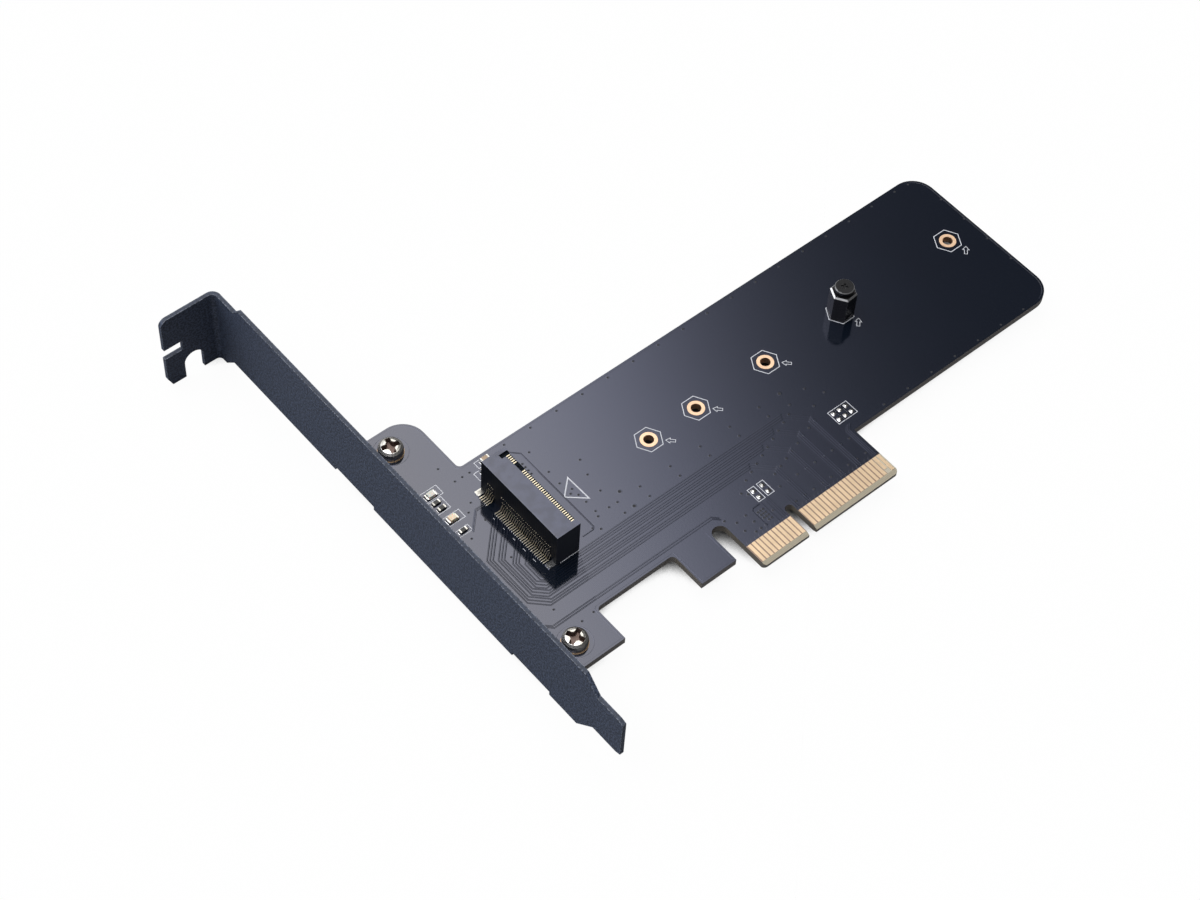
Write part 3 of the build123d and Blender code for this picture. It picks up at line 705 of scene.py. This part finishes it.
# Printed frames round the chips, open hooks beside the socket, and short ticks at its mouth
CHIP_FRAMES = (
    ((-52.3, 49.5), (-48.2, 51.8)),
    ((-52.3, 46.15), (-49.1, 49.2)),
    ((-52.3, 42.8), (-48.3, 44.9)),
    ((-52.1, 39.7), (-49.1, 41.2)),
)
HOOKS = (
    ((-38.3, 51.3), (-39.5, 51.3), (-39.5, 49.7), (-38.9, 49.7)),
    ((-39.9, 49.35), (-41.1, 49.35), (-41.1, 47.4), (-40.5, 46.9)),
)
TICK_X = -44.5
TICKS_Y = [39.1 - 2.95 * k for k in range(5)]
# Empty places for chips, each the middle of its printed frame
UPRIGHT_PLACES = ((-2.65, 12.9), (-0.35, 12.9), (21.65, 16.7), (23.25, 16.7), (24.85, 16.7))


def spaced(start, end, count):
    """Places at even steps from start to end."""
    first, last = Vector(start), Vector(end)
    return [first.lerp(last, i / max(count - 1, 1)) for i in range(count)]


def pin_places(row):
    """The Y of every contact in the upper or lower row of the socket."""
    low, high = box_mm(f"socket_{row}_contacts")
    count = round((high.y - low.y - 2 * PIN_HALF) / PIN_PITCH) + 1
    numbers = [i for i in range(count) if not LONG_ROW <= i < SHORT_ROW_START]
    return [low.y + PIN_HALF + i * PIN_PITCH for i in numbers]


def bundle_path(bundle, step):
    """The route of one line of a bundle; step shifts it sideways from the middle."""
    shift = step * BUNDLE_PITCH
    beside = bundle["beside_x"] + shift
    along = bundle["along_y"] + shift
    down = bundle["down_x"] + shift
    slant = shift * math.tan(math.pi / 8)
    leave_y = bundle["leave_y"] - 2 * shift + slant
    turn_y = leave_y - (BUNDLE_LEAVE_X - beside)
    # The outer bundles cut the corner beside the bracket more
    low_cut = 0.6 + 0.48 * (BUNDLE_LEAVE_X - bundle["beside_x"] - 2.0)
    return (
        (BUNDLE_LEAVE_X, leave_y),
        (beside, turn_y),
        (beside, along + low_cut),
        (beside + low_cut, along),
        (down - bundle["bend"] - slant - BEND_LEAD, along),
        (down - bundle["bend"] - slant, along, BEND_SHARE),
        (down, along - bundle["bend"] - slant, BEND_SHARE),
        (down, along - bundle["bend"] - slant - BEND_LEAD),
        (down, BUNDLE_END_Y),
    )


def block_arrow(tip, turn, long, half_shaft, half_head, head):
    """Outline of an arrow that points along turn, in degrees."""
    shape = (
        (0, 0),
        (-head, half_head),
        (-head, half_shaft),
        (-long, half_shaft),
        (-long, -half_shaft),
        (-head, -half_shaft),
        (-head, -half_head),
    )
    c, s = math.cos(math.radians(turn)), math.sin(math.radians(turn))
    return [(tip[0] + c * x - s * y, tip[1] + s * x + c * y) for x, y in shape]


# Settings


def colour_setting(name, description, default):
    """A colour that a user may change."""
    return bpy.props.FloatVectorProperty(
        name=name, description=description, subtype="COLOR", default=default
    )


def number_setting(name, description, default):
    """A number that a user may change."""
    return bpy.props.FloatProperty(name=name, description=description, default=default)


class CardLooks(bpy.types.PropertyGroup):
    """Colours and finishes of the card."""

    mask: colour_setting("Solder mask", "Colour of the mask's body", (0.0019, 0.0034, 0.0066))
    mask_sheen: colour_setting("Mask sheen", "Tint of what the mask reflects", (0.73, 0.757, 1.0))
    mask_ior: number_setting("Mask index", "Refractive index of the mask", 2.0)
    mask_roughness: number_setting("Mask roughness", "Roughness of the mask", 0.09)
    laminate: colour_setting("Laminate", "Colour of bare laminate", (0.42, 0.37, 0.25))
    laminate_dark: colour_setting("Cut laminate", "Colour of the board's cut edges", (0.15, 0.132, 0.1))
    resin_gap: colour_setting("Resin", "Resin between the edge contacts", (0.2, 0.115, 0.055))
    gold: colour_setting("Edge gold", "Colour of the edge contacts", (0.68, 0.52, 0.365))
    gold_worn: colour_setting("Worn gold", "Edges of all gold plating", (0.23, 0.13, 0.05))
    ring: colour_setting("Ring gold", "Colour of the plated holes", (0.87, 0.61, 0.43))
    # A darker gold: painted shade under the screw heads.
    land: colour_setting("Land gold", "Colour of the lands under the screws", (0.42, 0.3, 0.19))
    pin: colour_setting("Pins", "Colour of the socket's contacts", (0.8, 0.72, 0.56))
    # Painted shade for the sides of the socket's contacts.
    pin_side_shade: colour_setting("Pin sides", "Sides of the socket's contacts", (0.035, 0.026, 0.016))
    coat: colour_setting("Powder coat", "Colour of the bracket", (0.048, 0.061, 0.096))
    coat_worn: colour_setting("Rubbed coat", "The bracket's rubbed edges", (0.24, 0.258, 0.3))
    # Painted shade on the bracket's faces that look along Z.
    coat_edge_shade: colour_setting("Coat, upward", "The bracket's upward edges", (0.033, 0.038, 0.052))
    nickel: colour_setting("Nickel", "Colour of the bracket screws", (0.66, 0.645, 0.62))
    # Painted shade down in the screws' recess.
    recess: colour_setting("Recess", "Colour down in the screws' recess", (0.17, 0.125, 0.11))
    black_metal: colour_setting("Black plating", "Colour of the standoff", (0.014, 0.014, 0.016))
    rubbed_metal: colour_setting("Rubbed plating", "The standoff's rubbed rim", (0.88, 0.88, 0.9))
    socket: colour_setting("Socket", "Colour of the moulded socket", (0.003, 0.004, 0.006))
    # Painted light on the socket's ends.
    socket_end_light: colour_setting("Socket ends", "The socket's smooth ends", (0.034, 0.038, 0.05))
    lid: colour_setting("Socket lid", "Colour of the socket's lid", (0.008, 0.016, 0.066))
    solder: colour_setting("Solder", "Colour of clean solder", (0.62, 0.62, 0.63))
    solder_dull: colour_setting("Dull solder", "Colour of dulled solder", (0.36, 0.35, 0.34))
    lens_white: colour_setting("White lens", "Colour of the upper diode", (0.66, 0.65, 0.6))
    lens_cream: colour_setting("Cream lens", "Colour of the lower diode", (0.8, 0.67, 0.49))
    glaze: colour_setting("Glaze", "Colour of the resistors", (0.016, 0.016, 0.018))
    ceramic: colour_setting("Ceramic", "Colour of the capacitors", (0.3, 0.22, 0.15))
    ink: colour_setting("Ink", "Colour of the printed marks", (0.52, 0.53, 0.57))
    via_inside: colour_setting("Via", "Inside of a via", (0.012, 0.013, 0.018))
    via_deep: colour_setting("Deep via", "Darkest inside of a via", (0.004, 0.004, 0.006))


class CardSizes(bpy.types.PropertyGroup):
    """Sizes of the surface detail."""

    trace_wide: number_setting("Trace width", "Width of a trace at its foot, in mm", 0.28)
    trace_tall: number_setting("Trace height", "How far a trace stands up, in mm", 0.05)
    trace_slope: number_setting("Trace slope", "Width of a trace's steeper side, in mm", 0.064)
    ink_wide: number_setting("Line width", "Width of a printed line, in mm", 0.17)
    ink_tall: number_setting("Ink height", "Thickness of the ink, in mm", 0.02)
    via_radius: number_setting("Via radius", "Radius of a via's raised rim, in mm", 0.36)
    hexagon: number_setting("Hexagon", "Corner radius of the printed hexagons, in mm", 2.92)


class CardStage(bpy.types.PropertyGroup):
    """Camera, light and floor."""

    camera_place: bpy.props.FloatVectorProperty(
        name="Camera place", description="Where the camera stands", subtype="XYZ", unit="LENGTH",
        default=(-0.22047, -0.17221, 0.39992), precision=5,
    )
    camera_turn: bpy.props.FloatVectorProperty(
        name="Camera turn", description="Camera angles in degrees", size=3,
        default=(36.10029, -2.46402, -40.29465), precision=5,
    )
    lens: number_setting("Lens", "Focal length on a 36 mm sensor, in millimetres", 78.5836)
    key: number_setting("Softbox", "Brightness of the large softbox overhead", 2.75)
    fill: number_setting("Fill", "Brightness of the fill from the bracket's side", 1.55)
    ambient: number_setting("Ambient", "Brightness of the rest of the room", 0.09)
    floor: colour_setting("Floor", "Colour of the floor", (0.22, 0.22, 0.22))
    floor_glow: number_setting("Floor glow", "How bright the camera sees the floor", 1.09)


# Operators


class CARD_OT_dress_board(bpy.types.Operator):
    """Finishes the board, its contacts, plated holes and screw lands"""

    bl_idname = "card.dress_board"
    bl_label = "Dress Board"

    def execute(self, context):
        looks = context.scene.card_looks
        dress("circuit_board", material_of("solder_mask", mask_finish, looks))
        gold = material_of("edge_gold", gold_finish, looks.gold, 0.28, 0.5, looks)
        for name in ("edge_contacts_front", "edge_contacts_back"):
            dress(name, gold)
        ring = material_of("ring_gold", gold_finish, looks.ring, 0.36, 0.3, looks)
        # The lands take a darker gold than the plated holes: painted shade under the screw heads.
        land = material_of("land_gold", gold_finish, looks.land, 0.4, 0.3, looks)
        for length in DRIVE_HOLES:
            dress(f"plated_hole_{length}", ring)
        for name in ("upper", "lower"):
            dress(f"screw_land_{name}", land)
        return {"FINISHED"}


class CARD_OT_dress_bracket(bpy.types.Operator):
    """Finishes the bracket and the two screws that hold it"""

    bl_idname = "card.dress_bracket"
    bl_label = "Dress Bracket"

    def execute(self, context):
        looks = context.scene.card_looks
        dress("bracket", material_of("powder_coat", coat_finish, looks))
        for name in ("upper", "lower"):
            screw = f"bracket_screw_{name}"
            centre, top_z = middle_mm(screw), box_mm(screw)[1].z
            dress(screw, material_of(f"nickel_{name}", nickel_finish, centre, top_z, looks))
        return {"FINISHED"}


class CARD_OT_dress_standoff(bpy.types.Operator):
    """Finishes the standoff and its screws"""

    bl_idname = "card.dress_standoff"
    bl_label = "Dress Standoff"

    def execute(self, context):
        looks = context.scene.card_looks
        dress("standoff", material_of("standoff_plating", black_metal_finish, 1.0, looks))
        screws = material_of("screw_plating", black_metal_finish, 0.25, looks)
        for name in ("upper", "lower"):
            dress(f"standoff_screw_{name}", screws)
        return {"FINISHED"}


class CARD_OT_dress_socket(bpy.types.Operator):
    """Finishes the drive socket and its metal"""

    bl_idname = "card.dress_socket"
    bl_label = "Dress Socket"

    def execute(self, context):
        looks = context.scene.card_looks
        dress("socket_housing", material_of("moulded_socket", socket_finish, looks))
        pins = material_of("pin_plating", pin_finish, looks.pin, 0.32, looks)
        for name in ("socket_upper_contacts", "socket_lower_contacts"):
            dress(name, pins)
        dress("socket_hold_downs", material_of("tab_tin", solder_finish, 0.85, looks))
        return {"FINISHED"}


class CARD_OT_dress_chips(bpy.types.Operator):
    """Finishes the light emitting diodes, resistors and capacitors"""

    bl_idname = "card.dress_chips"
    bl_label = "Dress Chips"

    def execute(self, context):
        looks = context.scene.card_looks
        bodies = {
            "led_upper": material_of("white_lens", lens_finish, looks.lens_white),
            "led_lower": material_of("cream_lens", lens_finish, looks.lens_cream),
            "resistor": material_of("resistor_glaze", ceramic_finish, looks.glaze, 0.25),
            "capacitor": material_of("capacitor_ceramic", ceramic_finish, looks.ceramic, 0.45),
        }
        ends = material_of("tin_solder", solder_finish, 1.0, looks)
        for chip in CHIPS:
            dress(f"{chip}_body", bodies.get(chip) or bodies[chip.split("_")[0]])
            dress(f"{chip}_ends", ends)
        return {"FINISHED"}


class CARD_OT_add_traces(bpy.types.Operator):
    """Adds the copper lines that stand up under the mask"""

    bl_idname = "card.add_traces"
    bl_label = "Add Traces"

    def execute(self, context):
        looks, sizes = context.scene.card_looks, context.scene.card_sizes
        half, top = sizes.trace_wide / 2, BOARD_TOP + sizes.trace_tall
        # The side towards the camera is steeper than the other
        copper = (
            (half, BOARD_TOP), (half - 2 * sizes.trace_slope, top), (sizes.trace_slope - half, top),
            (-half, BOARD_TOP),
        )
        faint = even_profile(0.12, 0.05, BOARD_TOP, BOARD_TOP + sizes.trace_tall / 9)
        bm = bmesh.new()
        for bundle in BUNDLES:
            for k in range(BUNDLE_LINES):
                add_ribbon(bm, bundle_path(bundle, k - (BUNDLE_LINES - 1) / 2), copper)
        for route, step, count in LINES:
            for k in range(count):
                add_ribbon(bm, [(x + k * step[0], y + k * step[1]) for x, y in route], copper)
        for x, high in UPRIGHTS:
            add_ribbon(bm, ((x, high), (x, UPRIGHT_FOOT)), copper)
        for i in range(NECKS):
            x = CONTACTS_LOW.x + FIRST_NECK + i
            if abs(x) > KEY_HALF and x < CONTACTS_HIGH.x:
                add_ribbon(bm, ((x + 0.3, 6.0), (x, 5.7), (x, 5.1)), faint)
        for border in self.borders():
            add_ribbon(bm, border, faint)
        for name in ("upper", "lower"):
            around = circle(middle_mm(f"screw_land_{name}"), SCREW_RADIUS, SCREW_RADIUS, 40)
            add_ribbon(bm, around, faint, True)
        add_piece("traces", bm, [material_of("solder_mask", mask_finish, looks)])
        return {"FINISHED"}

    def borders(self):
        """The edge of the copper, along the board's far side and along the slot's side."""
        corner = CORNER - MARGIN
        start = BOARD_LOW.x + 0.2
        top, main_top, main_low = BOARD_HIGH.y - MARGIN, MAIN_HIGH - MARGIN, MAIN_LOW + MARGIN
        lobe, far = LOBE_RIGHT - MARGIN, BOARD_HIGH.x - MARGIN
        right_angle = math.pi / 2
        upper = (
            (start, top),
            *quarter(lobe - corner, top - corner, corner, right_angle, 0),
            (lobe, MAIN_HIGH + 0.3),
            (lobe + 0.7, main_top),
            *quarter(far - corner, main_top - corner, corner, right_angle, 0),
            *quarter(far - corner, main_low + corner, corner, 0, -right_angle),
            (CONTACTS_HIGH.x + 0.7, main_low),
        )
        lower = (
            (start, 4.6),
            (lobe, 4.6),
            (lobe, MAIN_LOW),
            (lobe + 0.7, main_low),
            (LATCH_LEFT + 0.3, main_low),
            (LATCH_LEFT + MARGIN, MAIN_LOW + 0.1),
            (LATCH_LEFT + MARGIN, LATCH_LOW + MARGIN),
            (LATCH_RIGHT - MARGIN, LATCH_LOW + MARGIN),
            (LATCH_RIGHT - MARGIN, MAIN_LOW),
        )
        return upper, lower


class CARD_OT_add_vias(bpy.types.Operator):
    """Adds the tented vias: a low rim round a dark dimple"""

    bl_idname = "card.add_vias"
    bl_label = "Add Vias"

    def execute(self, context):
        looks, sizes = context.scene.card_looks, context.scene.card_sizes
        spots = [(spot, 1.0) for row in VIA_ROWS for spot in spaced(*row)]
        spots += [(spot, 1.0) for spot in LONE_VIAS]
        spots += [(spot, WIDE_VIA) for spot in WIDE_VIAS]
        rim = BOARD_TOP + VIA_RIM
        bm = bmesh.new()
        for (x, y), scale in spots:
            r = sizes.via_radius * scale
            profile = (
                (r, BOARD_TOP), (r * 0.8, rim), (r * 0.64, rim), (r * 0.6, rim - VIA_SINK),
                (0, rim - VIA_SINK),
            )
            add_turned(bm, (x, y), profile, 16, (0, 0, 1, 1))
        mask = material_of("solder_mask", mask_finish, looks)
        add_piece("vias", bm, [mask, material_of("via_inside", void_finish, looks)])
        return {"FINISHED"}


class CARD_OT_add_marks(bpy.types.Operator):
    """Adds the plain printed marks: hexagons, arrows, a triangle and chip frames"""

    bl_idname = "card.add_marks"
    bl_label = "Add Printed Marks"

    def execute(self, context):
        looks, sizes = context.scene.card_looks, context.scene.card_sizes
        low, top = BOARD_TOP, BOARD_TOP + sizes.ink_tall
        bm = bmesh.new()

        def line(points, wide=sizes.ink_wide, closed=True):
            add_ribbon(bm, points, even_profile(wide, wide * 0.8, low, top), closed)

        for length, centre in DRIVE_HOLES.items():
            line(circle(centre, sizes.hexagon, sizes.hexagon, 6))
            if length <= 60:
                arrow = block_arrow((centre.x + 2.45, centre.y - 2.1), 135, 1.9, 0.28, 0.6, 0.85)
            else:
                arrow = block_arrow((centre.x + 1.9, centre.y - 3.35), 45, 2.0, 0.3, 0.66, 0.88)
            line(arrow, 0.13)
        line(TRIANGLE, 0.25)
        for corners in CHIP_FRAMES:
            line(frame_of(*corners))
        for hook in HOOKS:
            line(hook, 0.16, False)
        for y in TICKS_Y:
            line(((TICK_X, y + 0.4), (TICK_X, y - 0.4)), 0.1, False)
        below = SOCKET_LOW.y - 0.14
        line(((-41.2, below), (SOCKET_HIGH.x, below)), 0.14, False)
        for x, y in UPRIGHT_PLACES:
            line(frame_of((x - 0.8, y - 1.65), (x + 0.8, y + 1.65)), 0.13)
        add_piece("printed_marks", bm, [material_of("marking_ink", ink_finish, looks)])
        return {"FINISHED"}


class CARD_OT_add_shoulders(bpy.types.Operator):
    """Adds the contacts' shoulders that show through the two windows in the socket's back"""

    bl_idname = "card.add_shoulders"
    bl_label = "Add Contact Shoulders"

    def execute(self, context):
        looks = context.scene.card_looks
        # The shoulders take a lighter copy of the pins' colour: painted highlight on the bends.
        pins = material_of("shoulder_gold", pin_finish, scaled(looks.pin, 1.15), 0.45, looks)
        bm = bmesh.new()
        for row, leg_x, middle in (("upper", -41.7, 2.35), ("lower", -40.95, 3.65)):
            z = BOARD_TOP + middle
            for y in pin_places(row):
                add_shoulder(bm, y, z, leg_x)
        add_piece("contact_shoulders", bm, [pins])
        return {"FINISHED"}


class CARD_OT_add_solder(bpy.types.Operator):
    """Adds the solder at the chips, the socket's tails and hold-downs, and the empty pads"""

    bl_idname = "card.add_solder"
    bl_label = "Add Solder"

    def execute(self, context):
        looks = context.scene.card_looks
        rng = random.Random(11)
        solder = material_of("tin_solder", solder_finish, 1.0, looks)
        tin = material_of("tab_tin", solder_finish, 0.85, looks)
        add_piece("chip_solder", self.at_chips(), [solder], True)
        add_piece("socket_solder", self.at_socket(rng), [tin], True)
        add_piece("empty_pads", self.on_pads(rng), [solder], True)
        return {"FINISHED"}

    def at_chips(self):
        """A fillet at both ends of each chip."""
        bm = bmesh.new()
        for chip in CHIPS:
            low, high = box_mm(f"{chip}_ends")
            wide, tall = (high.y - low.y) * 1.02, (high.z - low.z) * 0.75
            for x, out in ((low.x, -1), (high.x, 1)):
                add_joint(bm, x, (low.y + high.y) / 2, out, wide, tall)
        return bm

    def at_socket(self, rng):
        """A drop at the foot of each contact, and three that run together at each hold-down."""
        bm = bmesh.new()
        edge = box_mm("socket_upper_contacts")[0].x
        for y in pin_places("upper"):
            reach = 0.26 + rng.uniform(-0.03, 0.04)
            tall = 0.15 + rng.uniform(-0.02, 0.03)
            add_mound(bm, (edge, y, BOARD_TOP), reach, 0.11, tall, 10, 3)
        edge = box_mm("socket_lower_contacts")[1].x - 0.05
        for y in pin_places("lower"):
            add_mound(bm, (edge, y, BOARD_TOP), 0.3, 0.12, 0.17, 10, 3)
        low, high = box_mm("socket_hold_downs")
        tab = 1.25
        for y in (low.y + tab / 2, high.y - tab / 2):
            add_mound(bm, (low.x + 0.5, y, BOARD_TOP), 0.62, 0.55, 0.18, 20, 6)
            add_mound(bm, (low.x + 0.85, y + 0.18, BOARD_TOP), 0.45, 0.3, 0.26, 16, 5)
            add_mound(bm, (low.x + 0.7, y - 0.3, BOARD_TOP), 0.5, 0.2, 0.22, 16, 5)
        return bm

    def on_pads(self, rng):
        """Two pads with a drop of solder in each empty place."""
        half_x, half_y, top = 0.5, 0.45, BOARD_TOP + 0.03
        bm = bmesh.new()
        for x, y in UPRIGHT_PLACES:
            for middle in (y - 0.82, y + 0.82):
                low = (x - half_x, middle - half_y, BOARD_TOP)
                add_block(bm, low, (x + half_x, middle + half_y, top), 0.02)
                spot = (x + rng.uniform(-0.1, 0.1), middle + rng.uniform(-0.06, 0.06), top)
                add_mound(bm, spot, 0.36, 0.34, rng.uniform(0.12, 0.26), 14, 4)
        return bm


# The floor's half width, its gap under the card, how far its shade reaches, and how much of
# what the camera sees there is its own white, all lengths in metres
FLOOR_SIZE = 4.0
FLOOR_GAP = 0.05 * MM
SHADE_REACH = 0.05
GLOW_SHARE = 0.88
WHITE = (1.0, 1.0, 1.0, 1.0)
WARM = (1.0, 0.96, 0.81)
COOL = (0.965, 0.975, 1.0)
# How much of the room's light is left beyond the softbox
DIM_SHARE = 0.65
# Where the softbox fades out, and how fast along X and Y
FADE_AT = 0.42
FADE_X = 35.0
FADE_Y = -6.8
# Edges of the softbox: the axis, where an edge begins and ends, and the brightness before it
SOFTBOX_EDGES = (
    (0, -0.75, -0.45, 0.0),
    (1, -0.4, -0.15, 0.0),
    (2, 0.1, 0.3, 0.0),
    (0, 0.1, 0.28, 1.4),
    (1, 0.18, 0.33, 1.4),
    (1, 0.68, 0.51, 0.3),
)


class CARD_OT_set_stage(bpy.types.Operator):
    """Sets up the floor, the room light and the camera"""

    bl_idname = "card.set_stage"
    bl_label = "Set Stage"

    def execute(self, context):
        stage = context.scene.card_stage
        scene = context.scene
        camera = bpy.data.objects.new("camera", bpy.data.cameras.new("camera"))
        scene.collection.objects.link(camera)
        camera.location = stage.camera_place
        camera.rotation_euler = [math.radians(angle) for angle in stage.camera_turn]
        camera.data.lens = stage.lens
        camera.data.sensor_width = 36.0
        camera.data.clip_start, camera.data.clip_end = 0.01, 20.0
        scene.camera = camera
        self.add_floor(scene, stage)
        self.light_room(scene, stage)
        scene.view_settings.view_transform = "Standard"
        return {"FINISHED"}

    def add_floor(self, scene, stage):
        """A plain pale floor just under the card, with a soft shadow and a painted shade under the card.
        """
        level = CAD_BOX[0].z - FLOOR_GAP
        bm = bmesh.new()
        bmesh.ops.create_grid(bm, x_segments=1, y_segments=1, size=FLOOR_SIZE)
        bmesh.ops.translate(bm, verts=bm.verts, vec=(0, 0, level))
        mesh = bpy.data.meshes.new("floor")
        bm.to_mesh(mesh)
        bm.free()
        floor = bpy.data.objects.new("floor", mesh)
        scene.collection.objects.link(floor)
        material = bpy.data.materials.new("floor")
        material.use_nodes = True
        tree = material.node_tree
        tree.nodes.clear()
        matt = node(tree, "ShaderNodeBsdfDiffuse", {"Color": (*stage.floor, 1.0)})
        glow = node(tree, "ShaderNodeEmission", {"Color": WHITE, "Strength": stage.floor_glow})
        rays = node(tree, "ShaderNodeLightPath").outputs
        seen = calc(tree, "MAXIMUM", rays["Is Camera Ray"], rays["Is Transmission Ray"])
        # Under the card the floor's glow is cut by ambient occlusion, a painted shade, so the floor seen
        # through the card's holes stays dark
        open_air = node(tree, "ShaderNodeAmbientOcclusion", {"Distance": SHADE_REACH}).outputs["AO"]
        share = calc(tree, "MULTIPLY", seen, ramp(tree, open_air, 0.12, 0.3, 0.0, GLOW_SHARE))
        surface = node(tree, "ShaderNodeMixShader", {0: share, 1: matt.outputs[0], 2: glow.outputs[0]})
        out = node(tree, "ShaderNodeOutputMaterial")
        tree.links.new(surface.outputs[0], out.inputs["Surface"])
        mesh.materials.append(material)

    def light_room(self, scene, stage):
        """A wide softbox overhead that fades towards the far end, and a weaker fill."""
        world = bpy.data.worlds.new("room")
        scene.world = world
        world.use_nodes = True
        tree = world.node_tree
        tree.nodes.clear()
        coords = node(tree, "ShaderNodeTexCoord")
        split = node(tree, "ShaderNodeSeparateXYZ", {0: coords.outputs["Generated"]}).outputs
        x, y = split[0], split[1]
        fade_x = calc(tree, "MULTIPLY_ADD", x, FADE_X, -FADE_X * FADE_AT)
        fade_y = calc(tree, "MULTIPLY_ADD", y, FADE_Y, -FADE_Y * FADE_AT)
        fade = calc(tree, "EXPONENT", calc(tree, "ADD", fade_x, fade_y))
        box = calc(tree, "DIVIDE", stage.key, calc(tree, "ADD", fade, 1.0))
        for axis, start, end, first in SOFTBOX_EDGES:
            box = calc(tree, "MULTIPLY", box, ramp(tree, split[axis], start, end, first))
        # The fill comes from the bracket's side and grows towards the card's far side
        side = ramp(tree, x, -0.3, -0.9, 0.0, stage.fill)
        side = calc(tree, "MULTIPLY", side, ramp(tree, y, 0.25, 0.6, 0.0, 1.5))
        dim = ramp(tree, x, 0.3, 0.55, stage.ambient, DIM_SHARE * stage.ambient)
        light = calc(tree, "ADD", calc(tree, "ADD", box, side), dim)
        # Where the softbox ends its light is warm, and elsewhere it is nearly white
        plain = calc(tree, "MAXIMUM", ramp(tree, x, 0.32, 0.45), ramp(tree, x, 0.3, 0.1))
        tint = mixed(tree, plain, WARM, COOL)
        room = node(tree, "ShaderNodeBackground", {"Color": tint, "Strength": light})
        white = node(tree, "ShaderNodeBackground", {"Color": WHITE, "Strength": 1.0})
        rays = node(tree, "ShaderNodeLightPath")
        inputs = {0: rays.outputs["Is Camera Ray"], 1: room.outputs[0], 2: white.outputs[0]}
        both = node(tree, "ShaderNodeMixShader", inputs)
        out = node(tree, "ShaderNodeOutputWorld")
        tree.links.new(both.outputs[0], out.inputs["Surface"])


OPERATORS = (
    CARD_OT_set_stage,
    CARD_OT_dress_board,
    CARD_OT_dress_bracket,
    CARD_OT_dress_standoff,
    CARD_OT_dress_socket,
    CARD_OT_dress_chips,
    CARD_OT_add_traces,
    CARD_OT_add_vias,
    CARD_OT_add_marks,
    CARD_OT_add_shoulders,
    CARD_OT_add_solder,
)


class CARD_PT_sidebar(bpy.types.Panel):
    """Lists the card's settings and the steps that dress it"""

    bl_idname = "CARD_PT_sidebar"
    bl_label = "Drive Adapter Card"
    bl_space_type = "VIEW_3D"
    bl_region_type = "UI"
    bl_category = "Card"

    def draw(self, context):
        layout = self.layout
        for settings in (context.scene.card_looks, context.scene.card_sizes, context.scene.card_stage):
            column = layout.column(align=True)
            for name in settings.__annotations__:
                column.prop(settings, name)
        for operator in OPERATORS:
            layout.operator(operator.bl_idname)


SETTINGS = {"card_looks": CardLooks, "card_sizes": CardSizes, "card_stage": CardStage}


def register():
    for cls in (*SETTINGS.values(), *OPERATORS, CARD_PT_sidebar):
        bpy.utils.register_class(cls)
    for name, cls in SETTINGS.items():
        setattr(bpy.types.Scene, name, bpy.props.PointerProperty(type=cls))


def unregister():
    for name in SETTINGS:
        delattr(bpy.types.Scene, name)
    for cls in (CARD_PT_sidebar, *OPERATORS[::-1], *SETTINGS.values()):
        bpy.utils.unregister_class(cls)


def main():
    """Runs every step in order."""
    register()
    for operator in OPERATORS:
        group, name = operator.bl_idname.split(".")
        getattr(getattr(bpy.ops, group), name)()


if __name__ == "__main__":
    main()
